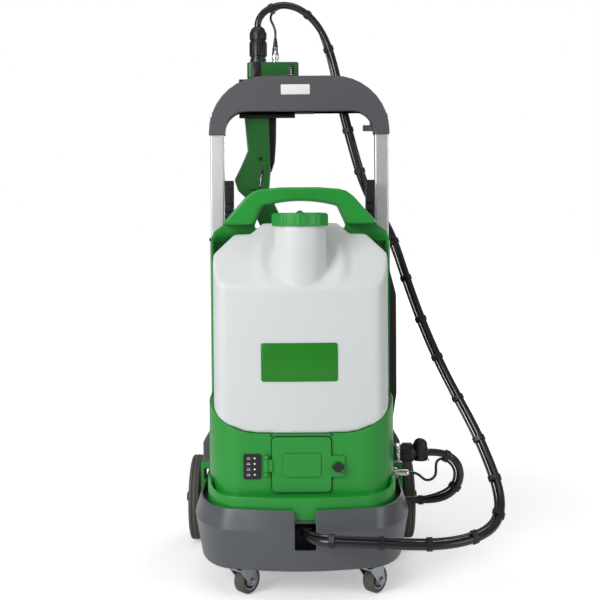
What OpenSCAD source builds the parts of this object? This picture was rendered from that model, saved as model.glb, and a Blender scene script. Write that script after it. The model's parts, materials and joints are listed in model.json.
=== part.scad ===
// Battery sprayer pack docked on a wheeled cart, with its spray gun on the push handle.
// +X is the viewer's right, +Y points away from the viewer, the floor is z = 0.

/* [Cart base] */
// Width of the tub at its belt line
base_w = 382; // [370:1:460]
// Distance from the centre to the front of the tub
base_front = 210; // [205:1:255]
// Height of the skirt's lower edge
skirt_z = 52; // [49:0.5:54]
// Height of the belt line
belt_z = 122; // [115:1:126]
// Height of the rim
rim_z = 155; // [148:1:175]
// How far the skirt draws in on each side
skirt_draft = 12; // [6:0.5:14]
// How far the band above the belt draws in on each side
rim_draft = 10; // [5:0.5:12]
// Wall of the tub
base_wall = 4; // [3:0.5:5]
// Width of the hose slot in the front wall
slot_w = 35; // [34:1:44]
// Lowest point of the hose slot
slot_z = 90; // [75:1:95]
// Diameter of the hose port in the right wall
port_d = 36; // [34:1:40]
// Thickness of the pan under the tub
pan_t = 4; // [3:0.5:5]

/* [Wheels] */
// Diameter of the rear wheels
wheel_d = 165; // [140:1:170]
// Width of the rear wheels
wheel_w = 22; // [18:1:30]
// Diameter of the rear axle
axle_d = 12; // [8:0.5:14]
// Diameter of the caster wheels
caster_d = 46; // [40:1:46]
// Width of the caster wheels
caster_w = 22; // [16:1:24]
// Distance of each caster's swivel axis from the middle
caster_x = 110; // [95:1:115]
// Offset of the caster wheel behind its swivel axis
caster_trail = 22; // [18:1:26]
// Way that the casters point at rest
caster_turn = 48; // [0:1:90]

/* [Push handle] */
// Width of the fixed tubes
tube_w = 31; // [28:0.5:34]
// Depth of the fixed tubes
tube_d = 26; // [24:0.5:28]
// Wall of the fixed tubes
tube_wall = 1.7; // [1.2:0.1:2.5]
// Distance of each tube's middle from the tub's side
tube_in = 28.5; // [23:0.5:31]
// Height of the fixed tubes' upper ends
tube_top = 600; // [560:1:605]
// Height of the crossbar's top
bar_top = 924; // [900:1:990]
// Depth of the crossbar
bar_d = 34; // [30:1:40]
// Height of the crossbar above the grip gap
bar_h = 69; // [55:1:80]
// Wall of the crossbar shells
bar_wall = 4; // [3:0.5:5]
// Length of the inner tubes inside the fixed tubes
slide_in = 120; // [80:1:160]

/* [Spray gun] */
// Depth of the gun's two shells together
gun_d = 44; // [38:1:46]
// Wall of the gun's shells
gun_wall = 3; // [2:0.5:4]
// Diameter of the nozzle collar
nozzle_d = 42; // [36:1:46]
// Diameter of the hole through the nozzle collar
nozzle_bore = 14; // [8:0.5:20]

/* [Backpack] */
// Distance of the back frame's side from the tub's side
frame_in = 24; // [21:0.5:28]
// Depth of the back frame
frame_d = 35; // [30:1:36]
// Height of the carry handle above the tank
handle_rise = 66; // [60:1:80]
// Distance of the lower housing's side from the frame's side
house_in = 2; // [0:0.5:5]
// Distance from the centre to the housing's front
house_front = 162; // [158:1:168]
// Wall of the housing
house_wall = 3.5; // [2.5:0.5:5]
// Height of the middle of the seat between housing and tank
seat_z = 275; // [265:1:285]
// Width of the battery door
door_w = 101; // [90:1:110]
// Height of the battery door
door_h = 94; // [84:1:96]
// Thickness of the battery door
door_t = 4.5; // [3:0.5:6]

/* [Tank] */
// Distance of the tank's side from the housing's side
tank_in = 11; // [4:0.5:14]
// Height of the tank above the middle of its seat
tank_h = 359; // [320:1:380]
// Wall of the tank
tank_wall = 3; // [2:0.5:4]
// Diameter of the filler neck
neck_d = 84; // [70:1:86]
// How far the filler cap's lobes stand out from the neck
cap_out = 7.5; // [6:0.5:10]
// Height of the filler cap
cap_h = 23; // [20:1:26]

/* [Hose] */
// Outer diameter of the hose
hose_d = 14; // [10:0.5:14]
// Outer diameter of the cable beside it
cable_d = 5; // [4:0.5:6]

/* [Fits] */
// Gap between pieces that move on each other
fit = 0.3; // [0.2:0.05:0.4]

/* [Hidden] */
$fn = 64;

grey = "#5c5f64";
green = "#2a9a3a";
black = "#1a1a1c";
metal = "#b9bcc0";

// Tub
base_flat = 110;
base_bow = 14;
base_side = -70;
base_corner = 40;
axle_y = base_front - wheel_d / 2;
axle_z = wheel_d / 2;
base_rear = axle_y + 32.5;
ledge_z = rim_z - 20;
ledge_t = 6;
ledge_w = 38;
deck_y = 72;
deck_z = rim_z - 5;
deck_t = 5;
slot_x = 5.5;
post_d = 16;
screw_d = 4;
side_post_x = base_w / 2 - 33;
posts = [[side_post_x, -70], [side_post_x, 55], [112, 85]];

// Wheels and casters
wheel_gap = 8;
wheel_x = base_w / 2 + wheel_gap + wheel_w / 2;
axle_end = wheel_x + wheel_w / 2 + 11;
rim_r = wheel_d / 2 - 14;
caster_r = caster_d / 2;
caster_y = -base_front + 42;
fork_gap = 1.2;
arm_t = 2.5;
fork_w = caster_w + 2 * (fork_gap + arm_t);
crown_z = caster_d + 1;
race_r = 11;
plate_t = 4;
caster_axle_r = 3.5;
pan_z = min(crown_z + 12, axle_z - axle_d / 2 - pan_t - fit);
pan_top = pan_z + pan_t;

// Push handle
tube_x = base_w / 2 - tube_in;
tube_y = 103;
tube_foot = ledge_z - 25;
slide_w = tube_w - 2 * tube_wall - 2 * fit;
slide_d = tube_d - 2 * tube_wall - 2 * fit;
slide_wall = 1.5;
leg_wall = 2;
leg_w = slide_w + 2 * leg_wall;
bush_h = 6;
bush_rim = 1.5;
bar_half = tube_x + leg_w / 2;
bar_r = 110;
bar_in_r = 40;
bar_under = bar_top - bar_h;
leg_z = bar_top - 115;
bar_front_y = tube_y - bar_d / 2;
bar_back_y = tube_y + bar_d / 2;
slide_z = tube_top - slide_in;
slide_top = leg_z + 41;
rail_w = 17;
rail_d = 22;
rail_x = tube_x - tube_w / 2 - 2 - rail_w / 2;
rail_y = tube_y - tube_d / 2 - 28;
rail_z = ledge_z + 25;
rail_top = tube_top + 117;
rib_pitch = 16;
rib_depth = 3;
socket_h = 75;
button_x = 11;
button_w = 38;
button_d = 16;
button_out = 4;
button_flange = 3;

// Gun, in the frame of the crossbar
gun_y = bar_back_y + 27;
gun_half = gun_d / 2;
gun_top = bar_top + 2;
gun_base_h = 32;
gun_base_x = -52;
gun_base_w = 104;
gun_base_d = 48;
gun_head = gun_top + gun_base_h;
barrel_turn = 155;
gun_outline = [[-106, 0], [-110, -76], [-104, -146], [-118, -178], [-131, -204], [-124, -226], [-104, -245],
  [-64, -332], [-23, -312.9], [-62, -229], [-59, -190], [-59, -146], [-61, -76], [-60, 0]];
muzzle = [-43.5, -322.5];
trigger_pivot = [-63, -182];
trigger_outline = [[-67, -186], [-57, -188], [-50, -166], [-47, -126], [-46, -60], [-50, -54], [-63, -57],
  [-63, -166]];
trigger_w = 14;
pin_d = 5;
gland_x = -82;
gland_h = 47;
gland_nut_h = 27;
plug_x = -47;
plug_h = 32;
boot_h = 20;

// Backpack
frame_w = base_w - 2 * frame_in;
house_w = frame_w - 2 * house_in;
foot_z = ledge_z;
foot_t = 6;
floor_z = foot_z + foot_t;
lip_front = house_front + 28;
lip_bow = base_bow - 4;
lip_wall = 5;
lip_h = 38;
lip_deck = 6;
house_flat = 100;
house_side = -70;
seat_flat = house_w / 2 - 95;
seat_r = 119;
frame_wall = 6;
frame_back = 4;
handle_d = 40;
tank_top = seat_z + tank_h;
frame_top = tank_top + handle_rise;
handle_z = tank_top - 2;
shoulder_z = frame_top - 94;
lug_w = 23;
lug_h = 47;
door_x = door_w / 2;
door_z = floor_z + 35;
door_pad = 2;
hinge_x = -door_x - 9.5;
hinge_y = -house_front - 6;
hinge_z = door_z + 29;
knuckle_h = 7;
knuckle_r = 5;
leaf_h = 21;
hinge_pin_d = 5;
knob_x = door_x + 11.5;
knob_z = door_z + 44;
knob_d = 16;
port_y = -20;
port_z = floor_z + 65;
port_len = 43;
elbow_len = 26;
socket_z = floor_z + 27;
socket_len = 35;
led_x = hinge_x - 24;
bay_t = 3;
bay_d = 96;
bay_z = door_z + 3;
pad_w = 2 * (rail_x - rail_w / 2 + 1);
pad_h = 380;
pad_t = 22;
strap_t = 14;
strap_w = 55;
strap_reach = pad_w / 2 + strap_w;

// Tank
tank_front = house_front - 2;
tank_flat = 126;
tank_side = house_side - 30;
tank_bow = 6;
tank_w = house_w - 2 * tank_in;
slope_z = seat_z + 248;
slope = 0.91;
column_r = neck_d / 2 + 4;
neck_y = -tank_front + column_r + 2;
column_z = tank_top - 7;
neck_h = 18;
neck_wall = 5;
cap_z = column_z + 2;
cap_d = neck_d + 2 * cap_out;
cap_top_t = 5;
seal_t = 2;
outlet_y = -45;
outlet_d = 20;

// Hose route from the gun's gland to the pack's elbow, and the cable's own ends
hose_route = [[-82, 147, 1032], [-82, 147, 1046], [-66, 147, 1068], [-27, 147, 1079], [8, 146, 1066],
  [36, 145, 1040], [60, 143, 998], [78, 141, 933], [92, 140, 857], [111, 140, 788], [133, 141, 708],
  [160, 138, 660], [186, 126, 612], [203, 106, 555], [226, 80, 478], [256, 50, 394], [290, 15, 318],
  [322, -25, 256], [341, -65, 202], [351, -105, 161], [343, -150, 132], [318, -190, 116], [273, -222, 110],
  [221, -238, 108], [163, -243, 111], [106, -243, 114], [61, -243, 116], [40, -239, 116], [21, -227, 115],
  [9, -208, 114], [5, -187, 111], [12, -150, 105], [45, -90, 102], [95, -25, 102], [145, 18, 102],
  [191, 30, 103], [233, 24, 103], [268, 12, 110], [291, 0, 132], [298, -10, 158], [293, -16, 182],
  [276, -20, 200], [254, -20, 206], [234, -20, 206]];
cable_gap = 1.5;
join_from = 3;
handle_point = 8;
slot_point = 30;
join_to = 35;
leave_point = 41;
cable_start = [[-47, 147, 1010], [-47, 147, 1024], [-52, 149, 1039], [-57, 154, 1052], [-50, 158, 1067]];
cable_end = [[262, -20, 194], [256, -20, 192.5], [251.6, -20, 188], [250, -20, 182], [250, -20, 172],
  [248.9, -20, 163.3], [242.5, -20, 156], [235, -20, 154], [229.3, -20, 155.1], [224.4, -20, 158.4],
  [218.5, -20, 163.6], [212, -20, 167], [206, -20, 168], [200, -20, 168]];

// Rounded rectangle about the origin
function rounded(w, d, r, steps = 6) = [for (q = [0:3], i = [0:steps]) let (a = 90 * q + 90 * i / steps)
  [(q == 0 || q == 3 ? 1 : -1) * (w / 2 - r) + r * cos(a), (q < 2 ? 1 : -1) * (d / 2 - r) + r * sin(a)]];

// Plan with a flat or bowed front, elliptical front corners and round rear corners
function dee(half, flat, front, side, rear, corner, bow = 0) = concat(
  [for (i = [0:6]) [half - corner + corner * cos(15 * i), rear - corner + corner * sin(15 * i)]],
  [for (i = [6:12]) [-half + corner + corner * cos(15 * i), rear - corner + corner * sin(15 * i)]],
  [for (i = [0:9]) [-flat - (half - flat) * cos(10 * i), side - (side - front - bow) * sin(10 * i)]],
  [for (i = [1:7]) let (u = i / 4 - 1) [flat * u, front + bow * u * u]],
  [for (i = [0:9]) [flat + (half - flat) * sin(10 * i), side - (side - front - bow) * cos(10 * i)]]);

function at_height(outline, z) = [for (p = outline) [p[0], p[1], z]];

function draft(z) = z < belt_z ? skirt_draft * (belt_z - z) / (belt_z - skirt_z)
  : rim_draft * (z - belt_z) / (rim_z - belt_z);

function tub_plan(inset, z, rear = base_rear) = let (e = inset + draft(z))
  dee(base_w / 2 - e, base_flat, e - base_front, base_side, rear == base_rear ? rear - e : rear,
    rear == base_rear ? base_corner - e : 4, base_bow);

function tub_ring(inset, z, rear = base_rear) = at_height(tub_plan(inset, z, rear), z);

function house_plan(inset) = dee(house_w / 2 - inset, house_flat, inset - house_front, house_side, -inset, 4);

function lip_plan(inset) = dee(frame_w / 2 - inset, house_flat, inset - lip_front, house_side - 15, frame_d, 4,
  lip_bow);

function tank_plan(inset) = dee(tank_w / 2 - inset, tank_flat, inset - tank_front, tank_side, -fit - inset,
  14, tank_bow);

// Height of the curved seat above its middle
function seat_rise(x) = abs(x) < seat_flat ? 0 : seat_r - sqrt(seat_r * seat_r - pow(abs(x) - seat_flat, 2));

function seat_line(half, drop) = [for (i = [0:40]) let (x = half * (1 - i / 20))
  [x, seat_z + seat_rise(x) - drop]];

function mirrored(points) = concat(points, [for (i = [len(points) - 1:-1:0]) [-points[i][0], points[i][1]]]);

function tank_front_view(inset) = let (w = tank_w / 2 - inset, top = tank_top - inset) concat(
  [for (p = seat_line(w, -fit - inset)) [-p[0], p[1]]],
  mirrored([[w, top - 55 + inset / 2], [w - 35, top - 20], [90 - inset / 2, top - 20], [68 - inset / 2, top]]));

function frame_front_view() = mirrored([[frame_w / 2, floor_z], [frame_w / 2, shoulder_z],
  [frame_w / 2 - 6, shoulder_z + 13], [frame_w / 2 - 21, shoulder_z + 24], [99, frame_top - 17],
  [86, frame_top - 7], [71, frame_top - 3], [35, frame_top]]);

// Arch of the crossbar with its two legs
function arch(inset) = let (c = bar_half - bar_r, k = bar_half - leg_w - bar_in_r, r = bar_r - inset,
    q = bar_in_r + inset) concat(
  [for (i = [0:9]) [c + r * cos(10 * i), bar_top - bar_r + r * sin(10 * i)]],
  [for (i = [9:18]) [-c + r * cos(10 * i), bar_top - bar_r + r * sin(10 * i)]],
  [[inset - bar_half, leg_z], [leg_w - bar_half - inset, leg_z]],
  [for (i = [18:-1:9]) [-k + q * cos(10 * i), bar_under - bar_in_r + q * sin(10 * i)]],
  [for (i = [9:-1:0]) [k + q * cos(10 * i), bar_under - bar_in_r + q * sin(10 * i)]],
  [[bar_half - leg_w + inset, leg_z], [bar_half - inset, leg_z]]);

function unit(v) = v / norm(v);

function tangents(path) = let (last = len(path) - 1)
  [for (i = [0:last]) unit(path[min(i + 1, last)] - path[max(i - 1, 0)])];

// Way from the hose to the cable at each point: behind the first arch, then on the inside of the bends, and
// on the right inside the tub
function cable_way(t, i) = let (inner = unit([t[2], 0, -t[0]]), right = unit([t[1], -t[0], 0]))
  i < 6 ? unit([0, 1, 0] - t[1] * t) : i == 6 ? unit([0, 1, 0] + inner) : i < slot_point ? inner
  : i == slot_point ? unit(right + [0, 0, 1]) : i <= join_to ? right
  : i == join_to + 1 ? unit(right - inner) : -inner;

function beside(path, away) = let (t = tangents(path))
  [for (i = [0:len(path) - 1]) path[i] + away * cable_way(t[i], i)];

function carried(t, i, side) = i == len(t) ? []
  : let (n = unit(side - (side * t[i]) * t[i])) concat([n], carried(t, i + 1, n));

function tube_rings(path, r, sides) = let (t = tangents(path), n = carried(t, 0, [0, 1, 0.01]))
  [for (i = [0:len(path) - 1]) let (b = cross(t[i], n[i]))
    [for (j = [0:sides - 1]) path[i] + r * (cos(360 * j / sides) * n[i] + sin(360 * j / sides) * b)]];

cable_side = beside(hose_route, hose_d / 2 + cable_d / 2 + cable_gap);
cable_route = concat(cable_start, [for (i = [join_from:leave_point]) cable_side[i]], cable_end);
cable_shift = len(cable_start) - join_from;

// Closed solid through a stack of rings with equal point counts
module loft(rings) {
  n = len(rings[0]);
  last = (len(rings) - 1) * n;
  polyhedron([for (ring = rings, p = ring) p], concat(
    [[for (i = [0:n - 1]) i]],
    [for (j = [0:n:last - 1], i = [0:n - 1]) [j + i, j + n + i, j + n + (i + 1) % n]],
    [for (j = [0:n:last - 1], i = [0:n - 1]) [j + i, j + n + (i + 1) % n, j + (i + 1) % n]],
    [[for (i = [n - 1:-1:0]) last + i]]), convexity = 8);
}

// Extrudes an outline in X and Z from one Y to another
module along_y(from, to) {
  translate([0, to, 0]) rotate([90, 0, 0]) linear_extrude(to - from) children();
}

// Extrudes an outline in Y and Z from one X to another
module along_x(from, to) {
  translate([from, 0, 0]) rotate([90, 0, 90]) linear_extrude(to - from) children();
}

// Cylinder along X between two places
module rod_x(from, to, d, y, z) {
  translate([from, y, z]) rotate([0, 90, 0]) cylinder(d = d, h = to - from);
}

// Cylinder along Y between two places
module rod_y(from, to, d, x, z) {
  translate([x, to, z]) rotate([90, 0, 0]) cylinder(d = d, h = to - from);
}

module pair() {
  children();
  mirror([1, 0, 0]) children();
}

// Cart

module cart_base() {
  color(grey) difference() {
    union() {
      difference() {
        loft([tub_ring(0, skirt_z), tub_ring(0, belt_z), tub_ring(0, rim_z)]);
        loft([tub_ring(base_wall, skirt_z - 1), tub_ring(base_wall, belt_z),
          tub_ring(base_wall, ledge_z - ledge_t)]);
        loft([tub_ring(base_wall, ledge_z, deck_y), tub_ring(base_wall, rim_z + 1, deck_y)]);
        translate([0, 0, ledge_z - ledge_t - 1]) linear_extrude(ledge_t + 2)
          polygon(tub_plan(base_wall + ledge_w, ledge_z, deck_y - 6));
        translate([-base_w / 2, deck_y, deck_z]) cube([base_w, base_rear, rim_z]);
        translate([-128, deck_y + 26, ledge_z - ledge_t - 1])
          cube([256, base_rear - deck_y - 44, deck_z - deck_t - ledge_z + ledge_t + 1]);
      }
      pair() for (p = posts) translate([p[0], p[1], pan_top])
        cylinder(d = post_d, h = ledge_z - ledge_t / 2 - pan_top);
    }
    translate([slot_x - slot_w / 2, -base_front - 1, slot_z]) cube([slot_w, rim_draft + base_wall + 8, rim_z]);
    rod_x(base_w / 2 - 30, base_w / 2 + 5, port_d, hose_route[join_to][1], hose_route[join_to][2] - 5);
    pair() translate([frame_w / 2 - 2, -2, ledge_z]) cube([base_w / 2, frame_d + 4, rim_z]);
    pair() translate([tube_x, tube_y, ledge_z - 20]) linear_extrude(rim_z) polygon(rounded(tube_w, tube_d, 4));
    rod_x(-base_w / 2, base_w / 2, axle_d, axle_y, axle_z);
    pair() for (p = posts) translate([p[0], p[1], pan_top - 1]) cylinder(d = screw_d, h = 16);
  }
}

module underpan() {
  color("#3a3c40") difference() {
    translate([0, 0, pan_z]) linear_extrude(pan_t) polygon(tub_plan(base_wall + fit, pan_z));
    pair() for (p = posts) translate([p[0], p[1], pan_z - 1]) cylinder(d = screw_d, h = pan_t + 2);
  }
}

module base_screws() {
  color(metal) pair() for (p = posts) translate([p[0], p[1], pan_z]) {
    translate([0, 0, -2.5]) cylinder(d = 2 * screw_d + 1, h = 2.5);
    cylinder(d = screw_d, h = pan_t + 12);
  }
}

module tube_sockets() {
  color(grey) pair() difference() {
    along_y(tube_y - tube_d / 2 - 10, tube_y + tube_d / 2 + 4)
      polygon([[tube_x - tube_w / 2 - 4, deck_z], [wheel_x - wheel_w / 2 - 5, deck_z],
        [wheel_x - wheel_w / 2 - 5, deck_z + socket_h - 22], [tube_x + tube_w / 2 + 3, deck_z + socket_h],
        [tube_x - tube_w / 2 - 4, deck_z + socket_h]]);
    translate([tube_x, tube_y, deck_z - 1]) linear_extrude(socket_h + 2) polygon(rounded(tube_w, tube_d, 4));
    translate([tube_x - 7, tube_y - tube_d / 2 - 11, deck_z + 22]) cube([14, 4, 34]);
  }
}

module outer_tubes() {
  color(metal) pair() translate([tube_x, tube_y, tube_foot]) linear_extrude(tube_top - tube_foot)
    difference() {
      polygon(rounded(tube_w, tube_d, 4));
      polygon(rounded(tube_w - 2 * tube_wall, tube_d - 2 * tube_wall, 3));
    }
}

module tube_bushes() {
  color(black) pair() translate([tube_x, tube_y, tube_top]) linear_extrude(bush_h) difference() {
    polygon(rounded(tube_w + 2 * bush_rim, tube_d + 2 * bush_rim, 5));
    polygon(rounded(slide_w + 2 * fit, slide_d + 2 * fit, 3));
  }
}

module backrest_rails() {
  ribs = floor((rail_top - rail_z - 30) / rib_pitch);
  front = rail_y - rail_d / 2;
  back = rail_y + rail_d / 2;
  comb = [for (i = [0:ribs - 1], p = [[rib_depth, 0], [rib_depth, 4], [0, 5], [0, rib_pitch - 1]])
    [front + p[0], rail_z + 12 + i * rib_pitch + p[1]]];
  color(black) pair() {
    along_x(rail_x - rail_w / 2, rail_x + rail_w / 2)
      polygon(concat([[back, rail_top], [back, rail_z], [front, rail_z], [front, rail_z + 11]], comb,
        [[front, rail_top]]));
    for (z = [deck_z + socket_h + 10, rail_z + 250, tube_top - 30]) translate([rail_x - 4, back, z])
      cube([tube_x - rail_x, tube_y - tube_d / 2 - back, 18]);
  }
}

module rear_axle() {
  color(metal) rod_x(-axle_end, axle_end, axle_d, axle_y, axle_z);
}

module axle_caps() {
  color(black) pair() difference() {
    union() {
      rod_x(axle_end - 10, axle_end - 4, 24, axle_y, axle_z);
      rod_x(axle_end - 4, axle_end, 18, axle_y, axle_z);
    }
    rod_x(axle_end - 11, axle_end + 1, axle_d, axle_y, axle_z);
  }
}

// Turns a profile drawn in radius and width about the rear axle
module about_axle(side) {
  translate([side * wheel_x, axle_y, axle_z]) rotate([0, 90, 0]) rotate_extrude() children();
}

module wheel_tyre(side) {
  w = wheel_w / 2;
  color("#54544f") about_axle(side) polygon([[rim_r, -w], [wheel_d / 2 - 4, -w], [wheel_d / 2, 4 - w],
    [wheel_d / 2, w - 4], [wheel_d / 2 - 4, w], [rim_r, w]]);
}

module wheel_hub(side) {
  w = wheel_w / 2;
  bore = axle_d / 2 + fit;
  color("#6a6b68") about_axle(side) polygon([[bore, -w], [20, -w], [24, -4], [rim_r - 10, -4],
    [rim_r - 6, 2 - w], [rim_r, 2 - w], [rim_r, w - 2], [rim_r - 6, w - 2], [rim_r - 10, 4], [24, 4], [20, w], [bore, w]]);
}

module caster_place(side) {
  translate([side * caster_x, caster_y, 0]) rotate([0, 0, caster_turn]) children();
}

module caster_plates() {
  color(metal) for (side = [-1, 1]) translate([side * caster_x, caster_y, pan_z - plate_t])
    cylinder(r = race_r + 1, h = plate_t);
}

module caster_fork(side) {
  color(metal) caster_place(side) {
    translate([0, 0, crown_z]) cylinder(r = race_r, h = pan_z - plate_t - crown_z - fit);
    translate([-10, -fork_w / 2, crown_z]) cube([caster_trail + 16, fork_w, 3]);
    for (y = [-fork_w / 2, fork_w / 2 - arm_t]) along_y(y, y + arm_t) union() {
      polygon([[-10, crown_z + 3], [caster_trail + 6, crown_z + 3], [caster_trail + 7, caster_r + 2],
        [caster_trail - 6, caster_r - 5]]);
      translate([caster_trail, caster_r]) circle(r = 8);
    }
    rod_y(-fork_w / 2 - 2, fork_w / 2 + 2, 2 * caster_axle_r, caster_trail, caster_r);
  }
}

// Turns a profile drawn in radius and width about a caster's axle
module about_caster(side) {
  caster_place(side) translate([caster_trail, 0, caster_r]) rotate([90, 0, 0]) rotate_extrude() children();
}

module caster_tread(side) {
  w = caster_w / 2;
  color("#4a4a4c") about_caster(side) polygon([[caster_r - 6, -w], [caster_r - 3, -w], [caster_r, 3 - w],
    [caster_r, w - 3], [caster_r - 3, w], [caster_r - 6, w]]);
}

module caster_hub(side) {
  w = caster_w / 2 - 1;
  bore = caster_axle_r + fit;
  color("#a9adb3") about_caster(side) polygon([[bore, -w], [8, -w], [9, 2 - w], [caster_r - 8, 2 - w],
    [caster_r - 6, -w], [caster_r - 6, w], [caster_r - 8, w - 2], [9, w - 2], [8, w], [bore, w]]);
}

// Push handle

module detents(d, depth) {
  pair() for (z = [leg_z - 14, leg_z - 29, leg_z - 89])
    rod_x(tube_x - slide_w / 2, tube_x - slide_w / 2 + depth, d, tube_y, z);
}

module inner_tubes() {
  color(metal) difference() {
    pair() translate([tube_x, tube_y, slide_z]) linear_extrude(slide_top - slide_z) difference() {
      polygon(rounded(slide_w, slide_d, 3));
      polygon(rounded(slide_w - 2 * slide_wall, slide_d - 2 * slide_wall, 2));
    }
    detents(6.4, slide_wall + 1);
  }
}

module detent_plugs() {
  color(black) detents(6.4, slide_wall + 2);
}

// Tab on the inside of the right leg that keeps the hose behind the crossbar
module hose_hook() {
  translate([bar_half - leg_w - 6, tube_y + 3, leg_z + 8]) cube([7, bar_d / 2 - 3, 34]);
  translate([bar_half - leg_w - 20, bar_back_y - 6, leg_z + 8]) cube([16, 6, 12]);
}

// Half of the crossbar between two Y values, open towards the seam
module crossbar_half(from, to, pocket_from, pocket_to) {
  difference() {
    along_y(from, to) polygon(arch(0));
    along_y(pocket_from, pocket_to) polygon(arch(bar_wall));
    pair() translate([tube_x - slide_w / 2, tube_y - slide_d / 2, leg_z - 1])
      cube([slide_w, slide_d, slide_top - leg_z + 1]);
    translate([button_x - button_w / 2 - fit, tube_y - button_d / 2 - fit, bar_under - 1])
      cube([button_w + 2 * fit, button_d + 2 * fit, bar_wall + 2]);
  }
}

module crossbar_front() {
  color("#56575b") crossbar_half(bar_front_y, tube_y, bar_front_y + bar_wall, tube_y + 1);
}

module crossbar_rear() {
  color("#56575b") {
    crossbar_half(tube_y, bar_back_y, tube_y - 1, bar_back_y - bar_wall);
    hose_hook();
  }
}

module release_button() {
  color(black) translate([button_x, tube_y, bar_under]) {
    translate([-button_w / 2, -button_d / 2, -button_out])
      cube([button_w, button_d, button_out + bar_wall + 1]);
    translate([-button_w / 2 - 4, -button_d / 2 - 3, bar_wall + fit])
      cube([button_w + 8, button_d + 6, button_flange]);
  }
}

module gun_holster() {
  arm = gun_y + gun_base_d / 2 - bar_back_y;
  color(black) {
    translate([-120, bar_back_y, bar_under - 10]) cube([112, 4, bar_h + 9]);
    translate([-120, bar_back_y, gun_top - 56]) cube([7, arm, 50]);
    translate([-42, bar_back_y, gun_top - fit - 10]) cube([34, arm, 10]);
  }
}

// Spray gun

module gun_area(inset) {
  translate([0, gun_top]) offset(delta = -inset) offset(r = 9, $fn = 32) offset(delta = -9)
    polygon(gun_outline);
}

// Half of the gun between two Y values, open towards the seam
module gun_half_shell(from, to, pocket_from, pocket_to) {
  difference() {
    along_y(from, to) gun_area(0);
    along_y(pocket_from, pocket_to) gun_area(gun_wall);
    translate([trigger_pivot[0] - 22, gun_y - trigger_w / 2 - fit, gun_top + trigger_pivot[1] - 10])
      cube([40, trigger_w + 2 * fit, 142]);
    rod_y(gun_y - gun_half + 1, gun_y + gun_half - 1, pin_d, trigger_pivot[0], gun_top + trigger_pivot[1]);
  }
}

module gun_shell_front() {
  color(green) gun_half_shell(gun_y - gun_half, gun_y, gun_y - gun_half + gun_wall, gun_y + 1);
}

module gun_shell_rear() {
  color(green) gun_half_shell(gun_y, gun_y + gun_half, gun_y - 1, gun_y + gun_half - gun_wall);
}

module gun_base() {
  color(green) translate([gun_base_x, gun_y, gun_top]) linear_extrude(gun_base_h)
    polygon(rounded(gun_base_w, gun_base_d, 9));
}

module trigger() {
  color(black) difference() {
    along_y(gun_y - trigger_w / 2, gun_y + trigger_w / 2) translate([0, gun_top]) polygon(trigger_outline);
    rod_y(gun_y - gun_half, gun_y + gun_half, pin_d + 2 * fit, trigger_pivot[0], gun_top + trigger_pivot[1]);
  }
}

module trigger_pin() {
  color(metal) rod_y(gun_y - gun_half + 1, gun_y + gun_half - 1, pin_d, trigger_pivot[0],
    gun_top + trigger_pivot[1]);
}

module nozzle_collar() {
  color(black) translate([muzzle[0], gun_y, gun_top + muzzle[1]]) rotate([0, barrel_turn, 0]) difference() {
    union() {
      cylinder(d = nozzle_d, h = 24);
      cylinder(d = nozzle_d - 10, h = 32);
    }
    translate([0, 0, -1]) cylinder(d = nozzle_bore, h = 40);
  }
}

module gland_body() {
  color(black) translate([gland_x, gun_y, gun_head]) rotate_extrude()
    polygon([[0, 0], [18, 0], [18, 4], [15, 6], [15, 14], [18, 16], [18, gland_h - 3], [16, gland_h],
      [0, gland_h]]);
}

module gland_nut() {
  color(black) translate([gland_x, gun_y, gun_head + gland_h]) rotate_extrude()
    polygon([[0, 0], [17.5, 0], [17.5, 15], [12, gland_nut_h], [0, gland_nut_h]]);
}

module cable_plug() {
  color(metal) translate([plug_x, gun_y, gun_head]) {
    cylinder(r = 7.5, h = plug_h - 8);
    cylinder(r = 6, h = plug_h);
    cylinder(r = 4.5, h = plug_h + boot_h);
  }
}

// Backpack

module handle_opening() {
  offset(r = 10, $fn = 32) offset(delta = -10)
    polygon(mirrored([[88, handle_z - 12], [86, handle_z], [70, frame_top - 33], [0, frame_top - 24]]));
}

module back_frame() {
  color(green) {
    difference() {
      union() {
        along_y(0, frame_d) polygon(frame_front_view());
        along_y(-handle_d, frame_d) intersection() {
          polygon(frame_front_view());
          translate([-frame_w / 2, handle_z]) square([frame_w, frame_top]);
        }
      }
      along_y(-handle_d - 1, frame_d + 1) handle_opening();
      translate([frame_wall - frame_w / 2, -1, floor_z + frame_wall])
        cube([frame_w - 2 * frame_wall, frame_d - frame_back + 1, shoulder_z - floor_z - 2 * frame_wall]);
    }
    pair() translate([frame_w / 2, 0, foot_z]) difference() {
      translate([0, 0, fit]) cube([lug_w, frame_d, lug_h]);
      translate([6, -1, 18]) cube([lug_w - 12, frame_d + 2, lug_h - 26]);
    }
  }
}

// Housing's outer form drawn in by a wall, with its curved seat lowered by a drop
module house_form(inset, drop, bottom) {
  intersection() {
    translate([0, 0, bottom]) linear_extrude(seat_z) polygon(house_plan(inset));
    along_y(-house_front - 1, 1) polygon(concat([[-house_w / 2, bottom], [house_w / 2, bottom]],
      seat_line(house_w / 2, drop)));
  }
}

// Shelf and stop for the battery, moulded in the housing
module battery_bay() {
  front = -house_front + house_wall - 1;
  translate([6 - door_x, front, bay_z]) cube([door_w - 12, bay_d, bay_t]);
  for (x = [6 - door_x, door_x - 6 - bay_t]) translate([x, front, floor_z])
    cube([bay_t, bay_d, bay_z - floor_z + 1]);
  translate([6 - door_x, front + bay_d - bay_t, bay_z]) cube([door_w - 12, bay_t, 60]);
}

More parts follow.
